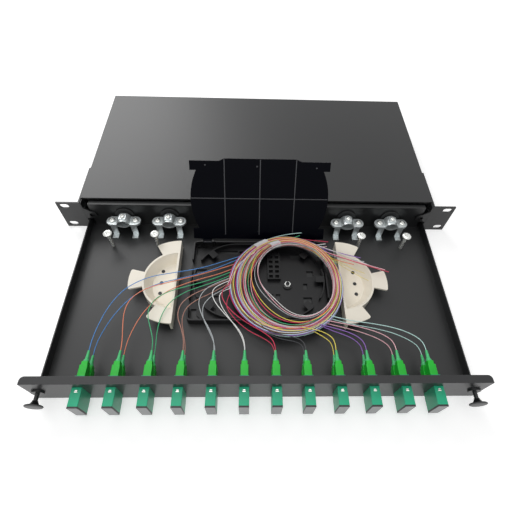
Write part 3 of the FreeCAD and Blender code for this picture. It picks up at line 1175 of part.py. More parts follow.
def build():
    save("housing_base", housing_base())
    save("top_cover", top_cover())
    ear = ear_bracket()
    save("ear_bracket_right", ear)
    save("ear_bracket_left", mirror_x(ear))
    latch = latch_bracket()
    save("latch_bracket_right", latch)
    save("latch_bracket_left", mirror_x(latch))
    save("cover_screws", *cover_screws())
    save("ear_screws", *ear_screws())

    save("drawer_tray", drawer_tray())
    save("front_panel", front_panel())
    save("cable_grommets", *[cable_grommet(x) for x in clamp_places()])
    save("clamp_brackets", *[clamp_bracket(x) for x in clamp_places()])
    save("clamp_saddles", *[clamp_saddle(x) for x in clamp_places()])
    screws = []
    for x in clamp_places():
        screws.extend(clamp_screws(x))
    save("clamp_screws", *screws)
    save("anchor_bolts", *[anchor_bolt(x) for x in anchor_places()])

    save("splice_tray", splice_tray())
    save("splice_combs", splice_comb(COMB_X), splice_comb(-COMB_X))
    save("tray_studs", tray_stud(STUD_X), tray_stud(-STUD_X))
    save("tray_nuts", tray_nut(STUD_X), tray_nut(-STUD_X))
    save("lid_hinge_pins", hinge_pin(HINGE_X), hinge_pin(-HINGE_X))
    save("splice_lid", splice_lid())
    guide = fibre_guide()
    save("fibre_guide_right", guide)
    save("fibre_guide_left", mirror_x(guide))
    save("guide_rivets", *[guide_rivet(x, y) for x, y in guide_hole_places()])

    clips, sleeves, plugs, ferrules, boots, caps = [], [], [], [], [], []
    for index, x in enumerate(adapter_places()):
        save("adapter_%02d" % (index + 1), adapter(x))
        clips.extend(adapter_clip(x))
        caps.append(dust_cap(x))
        for z in (UPPER_PORT_Z, LOWER_PORT_Z):
            sleeves.append(alignment_sleeve(x, z))
            plugs.append(connector_housing(x, z))
            ferrules.append(ferrule(x, z))
            boots.append(connector_boot(x, z))
    save("adapter_clips", *clips)
    save("alignment_sleeves", *sleeves)
    save("connector_housings", *plugs)
    save("ferrules", *ferrules)
    save("connector_boots", *boots)
    save("dust_caps", *caps)

    sleeve = latch_grommet()
    save("latch_grommets", sleeve, mirror_x(sleeve))
    plunger = latch_plunger()
    save("latch_plunger_right", plunger)
    save("latch_plunger_left", mirror_x(plunger))

    coil = fibre_coil()
    save("fibre_coil", coil)
    for node, pair in ROUTES.items():
        tubes = []
        for points in pair:
            tube, radius, length, fullness = pigtail(points)
            tubes.append(outside_coil(tube, coil, Vec(*points[0])))
            print("%s: least radius %.1f, length %.1f, volume ratio %.4f"
                  % (node, radius, length, fullness))
        save(node, *tubes)


build()
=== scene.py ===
import math

import bmesh
import bpy
import numpy as np
from mathutils import Matrix, Vector


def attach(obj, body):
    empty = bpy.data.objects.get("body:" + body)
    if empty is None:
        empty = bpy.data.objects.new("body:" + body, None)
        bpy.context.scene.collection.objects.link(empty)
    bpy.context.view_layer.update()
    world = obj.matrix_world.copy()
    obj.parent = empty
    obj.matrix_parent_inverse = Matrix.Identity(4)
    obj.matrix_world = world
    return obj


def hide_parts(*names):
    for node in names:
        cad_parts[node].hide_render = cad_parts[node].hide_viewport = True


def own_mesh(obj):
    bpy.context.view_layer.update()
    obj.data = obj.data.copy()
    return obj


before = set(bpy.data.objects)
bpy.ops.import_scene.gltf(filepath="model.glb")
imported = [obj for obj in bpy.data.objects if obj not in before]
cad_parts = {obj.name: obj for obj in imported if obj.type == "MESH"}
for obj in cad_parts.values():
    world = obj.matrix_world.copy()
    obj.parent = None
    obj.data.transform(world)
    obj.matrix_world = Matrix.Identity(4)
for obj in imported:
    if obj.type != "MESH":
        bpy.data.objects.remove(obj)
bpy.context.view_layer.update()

# Sizes are in millimetres, with heights measured from the underside of the housing, as in the CAD.
MM = 0.001
TURN = 2 * math.pi
MID_HEIGHT = 22.0
PANEL_FACE_Y = -211.8
LATCH_X = 204.5
PLUNGER_REACH = 14.0
ADAPTER_X = [-165.0 + 30.0 * i for i in range(12)]
PORT_Z = (28.35, 15.65)
BOOT_START_Y = -186.5
NECK_LENGTH = 4.7
CLIP_HEIGHT = 12.75
CLIP_SHEET = 0.3
CLIP_LENGTH = 2.0
CLAMP_X = (-165.0, -110.0, 110.0, 165.0)
CLAMP_Y = -8.0
CLAMP_SCREW_X = 14.0
SADDLE_TOP = 21.9
BOSS_TOP = 29.4
ANCHOR_X = (-178.0, -123.0, 123.0, 178.0)
ANCHOR_Y = -32.0
ANCHOR_HEAD_SEAT = 26.4
FIBRE = 0.45
# Blender widens a curve's bounds by its points' radius in metres, so it's small, and the bevel grows
POINT_RADIUS = 0.005


def place(points):
    """Points of the part in metres, (x, y, z - middle height) / 1000: the origin is midway up the
    ears."""
    return (np.array(points, float) - (0.0, 0.0, MID_HEIGHT)) * MM


def line_length(line):
    """The length of a line of points: the sum of the distances between neighbours."""
    return float(np.linalg.norm(np.diff(line, axis=0), axis=1).sum())


# Colours and materials
def srgb(code):
    """The linear colour of a hexadecimal screen colour."""
    parts = [int(code[i:i + 2], 16) / 255 for i in (1, 3, 5)]
    return tuple(p / 12.92 if p <= 0.04045 else ((p + 0.055) / 1.055) ** 2.4 for p in parts) + (1.0,)


def add_node(tree, kind, settings=None, links=None):
    """Adds one shader node, sets its values and links its inputs."""
    node = tree.nodes.new(kind)
    for name, value in (settings or {}).items():
        if name in node.inputs:
            node.inputs[name].default_value = value
        else:
            setattr(node, name, value)
    for name, source in (links or {}).items():
        tree.links.new(source, node.inputs[name])
    return node


def material(name, color, roughness, metallic=0.0, grain_mm=0.0, bump=0.0, rough_spread=0.0,
             ior=1.5, gloss=0.5, alpha=1.0, stretch=(1, 1, 1)):
    """A plain surface with an optional fine grain, in real millimetres, for bump and roughness."""
    made = bpy.data.materials.new(name)
    made.use_nodes = True
    tree = made.node_tree
    tree.nodes.clear()
    shader = add_node(tree, "ShaderNodeBsdfPrincipled", {
        "Base Color": srgb(color), "Roughness": roughness, "Metallic": metallic, "IOR": ior,
        "Specular IOR Level": gloss, "Alpha": alpha})
    add_node(tree, "ShaderNodeOutputMaterial", links={"Surface": shader.outputs["BSDF"]})
    if grain_mm:
        where = add_node(tree, "ShaderNodeTexCoord")
        scaled = add_node(tree, "ShaderNodeMapping", {"Scale": stretch},
                          {"Vector": where.outputs["Object"]})
        noise = add_node(tree, "ShaderNodeTexNoise", {"Scale": 1000.0 / grain_mm, "Detail": 3.0},
                         {"Vector": scaled.outputs["Vector"]})
        if bump:
            relief = add_node(tree, "ShaderNodeBump", {"Strength": bump, "Distance": 0.0001},
                              {"Height": noise.outputs["Fac"]})
            tree.links.new(relief.outputs["Normal"], shader.inputs["Normal"])
        if rough_spread:
            spread = add_node(tree, "ShaderNodeMapRange", {
                "To Min": roughness - rough_spread, "To Max": roughness + rough_spread},
                {"Value": noise.outputs["Fac"]})
            tree.links.new(spread.outputs["Result"], shader.inputs["Roughness"])
    return made


# A grain is a size in millimetres. An etched mould's is really about 0.1 mm, too fine for the
# render, so it is drawn at 0.5 to 1 mm, where it just breaks up the highlights. Grains from 1.5 mm
# up are the slight waves and streaks of a smooth surface. The plated and blackened metals are
# written less than fully metallic, so that they keep the pale or dark tone that they have on the
# object when little around them is bright.

# Sheet steel, powder coated and baked: a satin black with a fine orange peel, which spreads each
# reflection softly. The peel is about a millimetre across.
POWDER = material("baked_powder_coated_steel", "#151617", 0.42, grain_mm=0.9, bump=0.10,
                  rough_spread=0.05)
# The panel's coat is the same, baked a little smoother, so its face shows a clearer sheen.
PANEL_COAT = material("baked_powder_coated_panel", "#141517", 0.36, grain_mm=0.9, bump=0.08,
                      rough_spread=0.05)
# Pressed steel, zinc plated in a bath: bright and pale, with faint streaks along one direction.
ZINC = material("pressed_zinc_plated_steel", "#cdd3d4", 0.32, metallic=0.7, grain_mm=2.5, bump=0.05,
                rough_spread=0.10, stretch=(1, 0.3, 1))
# Turned steel, nickel plated: small bright highlights with a soft edge.
NICKEL = material("turned_nickel_plated_steel", "#d4d5d2", 0.26, metallic=0.85, grain_mm=1.5,
                  rough_spread=0.08)
# Steel blackened in a hot bath: a dark, dull metal shine.
BLACK_OXIDE = material("hot_blackened_steel", "#191a1c", 0.38, metallic=0.6)
# Rolled stainless spring steel: smooth, so that the small tabs glint.
SPRING = material("rolled_spring_steel", "#dcdcd6", 0.22, metallic=1.0)
# ABS, injection moulded in an etched mould: black with weak, broken reflections.
TRAY_PLASTIC = material("moulded_black_abs_etched", "#0a0a0c", 0.34, grain_mm=0.6, bump=0.08,
                        rough_spread=0.06, gloss=0.35)
# ABS, moulded against a polished mould: a deep bluish black with hardly a wave in it.
LID_PLASTIC = material("moulded_black_abs_polished", "#02030a", 0.26, grain_mm=3.0, bump=0.02,
                       rough_spread=0.03, gloss=0.05)
# The narrow crests of the same part's ribs: a painted highlight, written a shade lighter than the lid
# where their tiny rounded edges would catch the light, so that they show as thin grey lines.
LID_CREST_HIGHLIGHT = material("lid_rib_crest_painted_highlight", "#323338", 0.40, grain_mm=0.6, bump=0.04)
# ABS, moulded in warm ivory: slightly wavy, with a soft shine on the rims.
IVORY = material("moulded_ivory_abs", "#f3ecdd", 0.36, grain_mm=2.0, bump=0.03, rough_spread=0.04)
# Nylon, moulded: black with a silky shine, for pins, rivets and latches.
NYLON = material("moulded_black_nylon", "#17181a", 0.38, grain_mm=0.8, bump=0.05)
# Rubber, moulded and cured: matt, with hardly a highlight.
RUBBER = material("moulded_black_rubber", "#111213", 0.62, grain_mm=0.5, bump=0.10)
# Polycarbonate, moulded: strong teal with clean edges and a mild shine.
TEAL = material("moulded_teal_polycarbonate", "#10ad80", 0.36, grain_mm=1.0, bump=0.03)
# PBT polyester, moulded: bright green, a touch duller than the adapters.
GREEN = material("moulded_green_pbt", "#0cbc2c", 0.38, grain_mm=1.0, bump=0.03)
# Soft elastomer, moulded: a milky green without sharp highlights.
MINT = material("moulded_mint_elastomer", "#45bd74", 0.50, grain_mm=0.8, bump=0.05)
# Polyethylene, moulded black: a front written grey as a painted reflection, and a dark rim.
CAP_FRONT_REFLECTION = material("painted_front_reflection_on_black_polyethylene", "#77797a", 0.30, grain_mm=0.8, bump=0.05)
CAP_RIM = material("moulded_black_polyethylene", "#1c1d1e", 0.45, grain_mm=0.8, bump=0.05)
# Zirconia, sintered and polished: white, with a hard glassy shine.
CERAMIC = material("sintered_polished_zirconia", "#f1f0ea", 0.12, ior=2.1)
# Nylon strip, extruded clear: the fibres show through as through thin milk.
CLEAR = material("extruded_clear_nylon", "#f2f4f7", 0.20, alpha=0.72)
# PVC, extruded over the fibre: plain colours with a thin bright line along each jacket.
JACKET_COLOURS = ("#4b8cd2", "#ee8a66", "#3db47a", "#b58273", "#b9bec1", "#f4f4f2",
                  "#d63558", "#3c3d42", "#f0dd62", "#9a6cc6", "#f3bcc6", "#c4e8e4")
JACKETS = [material("extruded_pvc_jacket_%02d" % (i + 1), code, 0.38)
           for i, code in enumerate(JACKET_COLOURS)]


# Building meshes
def mesh_object(name, points, faces, mat, smooth):
    """An object from points in part millimetres and faces, shaded smooth below an angle."""
    mesh = bpy.data.meshes.new(name)
    mesh.from_pydata(place(points).tolist(), [], faces)
    work = bmesh.new()
    work.from_mesh(mesh)
    bmesh.ops.recalc_face_normals(work, faces=work.faces)
    work.to_mesh(mesh)
    work.free()
    mesh.materials.append(mat)
    mesh.polygons.foreach_set("use_smooth", np.ones(len(mesh.polygons), bool))
    mesh.set_sharp_from_angle(angle=math.radians(smooth))
    obj = bpy.data.objects.new(name, mesh)
    bpy.context.collection.objects.link(obj)
    return obj


def grid_faces(rows, columns, first):
    """Quads between neighbouring points of a grid that is closed round its columns, as the numbers
    of the corners (i, j), (i, j + 1), (i + 1, j + 1), (i + 1, j)."""
    i, j = np.mgrid[0:rows - 1, 0:columns]
    following = (j + 1) % columns
    corners = np.stack([i * columns + j, i * columns + following,
                        (i + 1) * columns + following, (i + 1) * columns + j], axis=-1)
    return (corners.reshape(-1, 4) + first).tolist()


class Shape:
    """Collects several grids of points, each closed round its columns, into one mesh."""

    def __init__(self):
        self.points = []
        self.faces = []
        self.count = 0

    def grid(self, points, cap_start=False, cap_end=False):
        """Adds an array of rows by columns by three, with optional flat ends."""
        rows, columns = points.shape[:2]
        first = self.count
        self.count += rows * columns
        self.points.append(points.reshape(-1, 3))
        self.faces += grid_faces(rows, columns, first)
        if cap_start:
            self.faces.append(list(range(first, first + columns)))
        if cap_end:
            self.faces.append(list(range(self.count - columns, self.count)))

    def build(self, name, mat, smooth=40.0):
        """Makes the object of all that was added."""
        return mesh_object(name, np.concatenate(self.points), self.faces, mat, smooth)


def turned(profile, centre, axis, steps=32, dip=None):
    """A surface of revolution. For a profile pair (along, radius) and a turn t the point is
    centre + axis * along + radius * (side * cos t + other * sin t), with side along X. A dip
    changes the distance along the axis by dip(along, t, radius)."""
    along, radius = np.array(profile, float).T[:, :, None]
    turn = np.arange(steps) * TURN / steps
    if dip:
        along = along + dip(along, turn, radius)
    axis = np.array(axis, float)
    side = np.array((1.0, 0.0, 0.0))
    other = np.cross(axis, side)
    outward = side * np.cos(turn)[:, None] + other * np.sin(turn)[:, None]
    return np.array(centre) + axis * along[..., None] + outward * radius[..., None]


def tube(path, radius, sides=8):
    """A round tube: for a point p of the path and a turn t it is p + radius * (side * cos t +
    other * sin t). Side is level and square to the path, and other is square to both. No path
    here stands upright, so side is never zero."""
    ahead = np.gradient(path, axis=0)
    side = np.cross(ahead, (0.0, 0.0, 1.0))
    side /= np.linalg.norm(side, axis=1)[:, None]
    other = np.cross(ahead, side)
    other /= np.linalg.norm(other, axis=1)[:, None]
    turn = np.arange(sides)[:, None] * TURN / sides
    return path[:, None] + radius * (side[:, None] * np.cos(turn) + other[:, None] * np.sin(turn))


def pan_head(radius, height):
    """The outline of a pan head as (height, radius) pairs: a short upright rim, then a quarter
    ellipse, rim + (height - rim) * sqrt(1 - (r / radius) squared), to the middle."""
    rim = 0.35 * height
    foot = [(0.0, radius * 0.6), (0.0, radius * 0.97), (0.06 * height, radius), (rim, radius)]
    r = np.linspace(radius, 0.02, 26)
    crown = rim + (height - rim) * np.sqrt(1 - (r / radius) ** 2)
    return np.vstack([foot, np.column_stack([crown, r])])


def cross_recess(radius, depth):
    """A cross sunk into a head. Each of its two bars is depth * (1 - (across / half width) to the
    fourth) * (1 - (lengthways / reach) cubed), and 0 outside, and the deeper bar counts."""
    half_width = 0.15 * radius
    reach = 0.55 * radius

    def bar(across, lengthways):
        return (np.clip(1 - (np.abs(across) / half_width) ** 4, 0, None)
                * np.clip(1 - (np.abs(lengthways) / reach) ** 3, 0, None))

    def dip(along, turn, r):
        x, y = r * np.cos(turn), r * np.sin(turn)
        return np.where(along > 0, -depth * np.maximum(bar(x, y), bar(y, x)), 0.0)
    return dip


def threaded_shank(radius, length, pitch, top, steps=20):
    """A thread going down from its top. At height z and share s of a turn the radius is reduced by
    a triangle wave, 0.275 * pitch * |2 * ((z / pitch + s) mod 1) - 1|."""
    levels = int(length / pitch * 6)
    z = -length * np.arange(levels + 1)[:, None] / levels
    share = np.arange(steps) / steps
    r = radius - 0.275 * pitch * np.abs(2 * ((z / pitch + share) % 1.0) - 1)
    x, y = top[0] + r * np.cos(TURN * share), top[1] + r * np.sin(TURN * share)
    return np.stack(np.broadcast_arrays(x, y, top[2] + z), axis=-1)


# Camera and surroundings
FOCAL_PX = 392.997378
CAMERA_MM = (-10.7514, -315.7597, 399.2656)
PITCH, YAW, ROLL = 0.959456452, -0.0616483608, 0.0585682275
CENTRE_PX = (263.843715, 251.027961)
PICTURE_PX = 512
SENSOR_MM = 36.0


def make_camera():
    """The camera is placed by its pitch, yaw and roll, with a small shift of the picture."""
    turn = Matrix.Rotation(YAW, 3, "Z")
    right = turn @ Vector((1, 0, 0))
    ahead = turn @ Vector((0, math.cos(PITCH), -math.sin(PITCH)))
    up = turn @ Vector((0, math.sin(PITCH), math.cos(PITCH)))
    x_axis = math.cos(ROLL) * right + math.sin(ROLL) * up
    y_axis = -math.sin(ROLL) * right + math.cos(ROLL) * up
    data = bpy.data.cameras.new("photo_camera")
    data.sensor_width = SENSOR_MM
    data.lens = FOCAL_PX / PICTURE_PX * SENSOR_MM
    data.shift_x = -(CENTRE_PX[0] - PICTURE_PX / 2) / PICTURE_PX
    data.shift_y = (CENTRE_PX[1] - PICTURE_PX / 2) / PICTURE_PX
    data.clip_start = 0.01
    camera = bpy.data.objects.new("photo_camera", data)
    bpy.context.collection.objects.link(camera)
    basis = Matrix((x_axis, y_axis, -ahead)).transposed().to_4x4()
    camera.matrix_world = Matrix.Translation(Vector(place(CAMERA_MM))) @ basis
    bpy.context.scene.camera = camera


def make_light(name, where, aim, size, power):
    """A rectangular lamp in metres and watts, turned towards a point."""
    data = bpy.data.lights.new(name, "AREA")
    data.shape = "RECTANGLE"
    data.size, data.size_y = size
    data.energy = power
    lamp = bpy.data.objects.new(name, data)
    bpy.context.collection.objects.link(lamp)
    lamp.location = where
    lamp.rotation_euler = (Vector(aim) - Vector(where)).to_track_quat("-Z", "Y").to_euler()


def seen_strength(tree, seen, unseen):
    """A light strength that is one value to the camera, in reflections and through clear pieces,
    and another for everything that it lights."""
    light_path = add_node(tree, "ShaderNodeLightPath")
    either = add_node(tree, "ShaderNodeMath", {"operation": "MAXIMUM"})
    tree.links.new(light_path.outputs["Is Camera Ray"], either.inputs[0])
    tree.links.new(light_path.outputs["Is Glossy Ray"], either.inputs[1])
    any_of_them = add_node(tree, "ShaderNodeMath", {"operation": "MAXIMUM"})
    tree.links.new(either.outputs[0], any_of_them.inputs[0])
    tree.links.new(light_path.outputs["Is Transmission Ray"], any_of_them.inputs[1])
    strength = add_node(tree, "ShaderNodeMapRange", {"To Min": unseen, "To Max": seen},
                        {"Value": any_of_them.outputs[0]})
    return strength.outputs["Result"]


def white_floor():
    """Matt white paper that takes the part's shadow and looks white to the camera and in
    reflections."""
    made = bpy.data.materials.new("white_paper")
    made.use_nodes = True
    tree = made.node_tree
    tree.nodes.clear()
    matt = add_node(tree, "ShaderNodeBsdfDiffuse", {"Color": srgb("#e8e8e8")})
    glow = add_node(tree, "ShaderNodeEmission", {"Color": (1.0, 1.0, 1.0, 1.0)},
                    {"Strength": seen_strength(tree, 0.5, 0.0)})
    both = add_node(tree, "ShaderNodeAddShader")
    tree.links.new(matt.outputs["BSDF"], both.inputs[0])
    tree.links.new(glow.outputs["Emission"], both.inputs[1])
    add_node(tree, "ShaderNodeOutputMaterial", links={"Surface": both.outputs[0]})
    return made


def make_surroundings():
    """A white floor and sky, a large soft light overhead, one behind on the left and a weak one in
    front."""
    world = bpy.data.worlds.new("studio")
    world.use_nodes = True
    sky = world.node_tree.nodes["Background"]
    sky.inputs["Color"].default_value = (1.0, 1.0, 1.0, 1.0)
    world.node_tree.links.new(seen_strength(world.node_tree, 1.0, 0.22), sky.inputs["Strength"])
    bpy.context.scene.world = world
    mesh = bpy.data.meshes.new("floor")
    reach, low = 3.0, -MID_HEIGHT * MM
    corners = [(-reach, -reach, low), (reach, -reach, low), (reach, reach, low), (-reach, reach, low)]
    mesh.from_pydata(corners, [], [(0, 1, 2, 3)])
    mesh.materials.append(white_floor())
    floor = bpy.data.objects.new("floor", mesh)
    bpy.context.collection.objects.link(floor)
    make_light("overhead", (-0.2, -0.2, 2.2), (0, 0, 0), (2.4, 2.0), 18)
    make_light("behind_left", (-0.85, 1.35, 1.15), (0, 0.05, 0), (1.3, 1.0), 20)
    make_light("front", (-0.1, -1.2, 0.9), (0, -0.1, 0), (1.4, 0.5), 4)
    bpy.context.scene.view_settings.view_transform = "Standard"


# Pigtails: the same routes as in the CAD, boot to coil, in part millimetres
ROUTES = [
    ([(-165, -175.1, 28.35), (-165, -166, 28.35), (-163.6, -151, 27), (-158.5, -127, 25),
      (-146.5, -103, 22.5), (-124, -87, 20.5), (-97, -80.5, 19), (-70, -74, 17),
      (-46, -65, 16), (-16, -52.5, 15.6)],
     [(-165, -175.1, 15.65), (-165, -166, 15.65), (-161.5, -152, 16.8), (-152, -131, 18.8),
      (-136.5, -110, 19.8), (-113, -94.5, 19), (-86, -86.5, 17.5), (-61, -77.5, 16),
      (-41, -68, 15.5), (-23, -58.5, 15.2)]),
    ([(-135, -175.1, 28.35), (-135, -166, 28.35), (-138, -151, 27), (-141, -131, 25),
      (-137, -114, 23.2), (-122, -101, 21.2), (-99, -93, 19.6), (-74, -84.5, 18),
      (-50, -75.5, 16.6), (-25, -65, 15.8)],
     [(-135, -175.1, 15.65), (-135, -166, 15.65), (-132, -152, 17), (-125, -134, 18.8),
      (-114, -117, 19.4), (-99, -102.5, 18.8), (-80, -92.5, 17.4), (-59, -84.5, 16.2),
      (-41, -78, 15.6), (-28, -71, 15.4)]),
    ([(-105, -175.1, 28.35), (-105, -166, 28.35), (-110, -152, 26.5), (-117, -134, 24),
      (-114.5, -118, 22), (-101, -106, 20.4), (-80, -98, 19), (-62, -91.5, 17.8),
      (-45, -84, 17), (-30, -76.5, 16.6)],
     [(-105, -175.1, 15.65), (-105, -166, 15.65), (-105.5, -151.5, 18), (-103.5, -133, 19.4),
      (-96, -117, 19.4), (-82, -105, 18.4), (-65, -97, 17), (-48, -90, 16.2),
      (-31.5, -81, 15.8)]),
    ([(-75, -175.1, 28.35), (-75, -166, 28.35), (-79, -152, 26.5), (-86, -136, 24),
      (-84, -120, 22), (-71.5, -108, 20.2), (-56, -99.5, 18.8), (-44, -93, 18),
      (-31.5, -86, 17.6)],
     [(-75, -175.1, 15.65), (-75, -166, 15.65), (-78.5, -152, 17.2), (-82, -137, 18.2),
      (-78.5, -123.5, 18.4), (-67, -113.5, 18), (-53.5, -106, 17.2), (-44, -99.5, 16.8),
      (-33, -91.5, 16.4)]),
    ([(-45, -175.1, 28.35), (-45, -166, 28.35), (-51, -152, 27), (-61, -135, 25),
      (-66, -117, 23.4), (-59, -102.5, 22.2), (-46, -94, 21.2), (-32.5, -88, 20.6)],
     [(-45, -175.1, 15.65), (-45, -166, 15.65), (-51, -152.5, 17.8), (-59.5, -137, 19.8),
      (-61, -123, 20.8), (-53.5, -112, 20.6), (-44, -105, 19.8), (-32.5, -97.5, 19.4)]),
    ([(-15, -175.1, 28.35), (-15, -166, 28.35), (-21, -152.5, 27.8), (-36, -136, 27),
      (-48.5, -120, 26), (-52, -107, 24.6), (-44.5, -98, 23.2), (-33, -92.5, 22.4)],
     [(-15, -175.1, 15.65), (-15, -166, 15.65), (-19.5, -153.5, 18), (-30.5, -139, 21),
      (-41, -124, 22.8), (-44, -112, 22.6), (-40, -105, 22), (-32.5, -102, 21.4)]),
    ([(15, -175.1, 28.35), (15, -166, 28.35), (5, -156.5, 28), (-13, -146, 27.5),
      (-31, -131, 26.6), (-41, -115, 24.8), (-40, -103, 23.6), (-32.5, -97, 22.8)],
     [(15, -175.1, 15.65), (15, -166, 15.65), (6, -158.5, 16.8), (-13, -149.5, 17.8),
      (-29.5, -134, 18.8), (-37.5, -119, 19.2), (-32, -107, 19.2)]),
    ([(45, -175.1, 28.35), (45, -168, 28.35), (38.5, -161.5, 26.5), (26, -157.5, 24),
      (12, -152.5, 20)],
     [(45, -175.1, 15.65), (45, -168, 15.65), (41, -162.5, 16.4), (31, -160.2, 17.2),
      (19, -158.4, 17.8), (8, -153, 18)]),
    ([(75, -175.1, 28.35), (75, -168, 28.35), (73, -161, 27.5), (65.5, -155, 26),
      (54, -150, 23.6), (43, -147, 20)],
     [(75, -175.1, 15.65), (75, -168, 15.65), (72.5, -161, 16.6), (65.5, -156, 17.6),
      (56, -150.5, 18.2)]),
    ([(105, -175.1, 28.35), (105, -168, 28.35), (99.5, -160, 27), (89, -154, 25.5),
      (76, -149, 23.6), (62, -143.5, 20)],
     [(105, -175.1, 15.65), (105, -168, 15.65), (100.5, -161, 16.8), (91, -155.5, 17.8),
      (78, -151, 18.4), (65, -145, 18.4)]),
    ([(135, -175.1, 28.35), (135, -168, 28.35), (129.5, -160, 27), (117, -153, 25.5),
      (99, -147, 24), (82, -142.5, 22), (69, -138.5, 19.6)],
     [(135, -175.1, 15.65), (135, -168, 15.65), (128, -161, 17), (114, -154.5, 18.2),
      (97, -149, 18.8), (82, -145, 18.6), (70.5, -141, 17)]),
    ([(165, -175.1, 28.35), (165, -168, 28.35), (159, -159.5, 27), (144, -151, 25.5),
      (122, -145, 24), (99, -141, 22.4), (83, -136.5, 21), (73, -132.5, 19.6)],
     [(165, -175.1, 15.65), (165, -168, 15.65), (157.5, -161, 17.2), (141, -153, 18.8),
      (119, -147.5, 19.8), (99, -144, 20), (84, -139.5, 19.2), (74.5, -136, 18)]),
]


def curve_length(curve_object):
    """The length of a curve's own line, read from its mesh without its thickness."""
    data = curve_object.data
    bevel, data.bevel_depth = data.bevel_depth, 0.0
    bpy.context.view_layer.update()
    mesh = curve_object.to_mesh()
    line = np.empty(3 * len(mesh.vertices))
    mesh.vertices.foreach_get("co", line)
    curve_object.to_mesh_clear()
    data.bevel_depth = bevel
    return line_length(line.reshape(-1, 3))


def make_leads():
    """The visible stretch of each fibre from its boot to the coil: a smooth curve, a NURBS spline
    of order 3 with the route's points as its control points."""
    for index, pair in enumerate(ROUTES):
        for port, points in zip("ab", pair):
            data = bpy.data.curves.new("lead", "CURVE")
            data.dimensions = "3D"
            data.bevel_depth = FIBRE * MM / POINT_RADIUS
            data.bevel_resolution = 3
            data.resolution_u = 8
            data.use_fill_caps = True
            spline = data.splines.new("NURBS")
            count = len(points)
            spline.points.add(count - 1)
            spline.points.foreach_set("co", np.column_stack([place(points), np.ones(count)]).ravel())
            spline.points.foreach_set("radius", np.full(count, POINT_RADIUS))
            spline.order_u = 3
            spline.use_endpoint_u = True
            data.materials.append(JACKETS[index])
            lead = bpy.data.objects.new("lead_%02d%s" % (index + 1, port), data)
            bpy.context.collection.objects.link(lead)
            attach(lead, "drawer")
            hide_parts("pigtail_pair_%02d" % (index + 1))
            curve_length(lead)


# The coil: every fibre goes round an oval between an inner and an outer edge
INNER_OVAL = ((36.7, -91.0), (44.6, 49.6))
OUTER_OVAL = ((30.5, -95.2), (65.0, 62.7))
COIL_FRONT_Y = -158.4
COIL_DEPTH = 126.4
COIL_FLOOR = 14.2
COIL_TOP = 20.4
REAR_RISE_START = 0.55
REAR_FLOOR_RISE = 5.5
REAR_TOP_RISE = 6.0
GUIDE_EDGE_X = 84.0
GUIDE_RAMP = 6.0
GUIDE_RISE = 4.0
LANE = 0.092
INWARD_START, OUTWARD_START = 0.98, 0.02
START_FADE = math.radians(75)
LOOSE_AT = math.radians(228)
LOOSE_SPREAD = 1.05
BARE_FIBRE_RADIUS = 0.25

# Which fibres lie in each layer, from the bottom up: adapter number and port
LAYERS = (
    ((1, "b"), (2, "b"), (3, "b")),
    ((5, "b"), (4, "b"), (8, "b")),
    ((8, "a"), (10, "b"), (12, "b")),
    ((9, "b"), (2, "a"), (11, "b")),
    ((1, "a"), (4, "a"), (7, "b")),
    ((3, "a"), (5, "a"), (6, "b")),
    ((6, "a"), (12, "a"), (10, "a")),
    ((9, "a"), (7, "a"), (11, "a")),
)
# How far some fibres cut across the inside of the coil on their last turn
LOOSE = {(6, "b"): 20.0, (5, "a"): 17.0, (3, "a"): 3.0, (9, "a"): 10.0, (7, "a"): 4.0, (11, "a"): 15.0}
# Where the fibres that spring out of the coil leave it, in degrees, and where they end
FLARES = {
    (12, "a"): (112, (51.2, -27.6, 26.0)), (3, "a"): (114, (49.0, -30.6, 24.8)),
    (7, "b"): (80, (82.3, -39.6, 24.6)), (6, "b"): (82, (79.0, -41.8, 23.6)),
    (11, "b"): (78, (80.6, -44.8, 22.4)),
    (7, "a"): (66, (148.1, -79.6, 22.0)), (11, "a"): (68, (144.0, -77.6, 23.2)),
    (6, "a"): (65, (140.0, -77.0, 21.2)), (5, "a"): (64, (122.0, -66.0, 22.4)),
    (10, "b"): (67, (118.0, -61.5, 23.4)), (2, "a"): (62, (110.0, -68.5, 20.0)),
}
# The same for the two stripped fibres
BARE_ENDS = ((48, (121.2, -79.7, 18.6)), (42, (124.2, -89.2, 18.2)))
BARE_LAYER = 6.5

# The clear wraps: first and last angle, place across the coil, half width and half height
WRAPS = ((129, 113, 0.76), (118, 104, 0.24))
WRAP_LAYER = 4.3
WRAP_HALF_WIDTH = 4.2
WRAP_HALF_HEIGHT = 5.9
WRAP_WALL = 0.25


def oval(oval_sizes, angle):
    """Points of an oval: its centre plus its half axes times the cosine and sine of each angle."""
    centre, half_axes = oval_sizes
    return np.array(centre) + np.array(half_axes) * np.stack([np.cos(angle), np.sin(angle)], axis=-1)


def orbit(angle, share, layer):
    """Places in the coil. Seen from above they are (1 - share) * inner oval + share * outer oval.
    The height goes by the layer from a bottom, which rises at the rear and over the right guide,
    to a top, which rises with the 1.5th power of the place from front to rear, where the coil
    leans on the lid's foot."""
    share = np.asarray(share)[..., None]
    flat = (1 - share) * oval(INNER_OVAL, angle) + share * oval(OUTER_OVAL, angle)
    back = (flat[..., 1] - COIL_FRONT_Y) / COIL_DEPTH
    over_guide = np.clip((flat[..., 0] - GUIDE_EDGE_X) / GUIDE_RAMP, 0.0, 1.0)
    bottom = (COIL_FLOOR + REAR_FLOOR_RISE * np.clip(back - REAR_RISE_START, 0.0, None)
              + GUIDE_RISE * over_guide)
    top = COIL_TOP + REAR_TOP_RISE * back ** 1.5
    height = bottom + (top - bottom) * layer / (len(LAYERS) - 1)
    return np.concatenate([flat, height[..., None]], axis=-1)


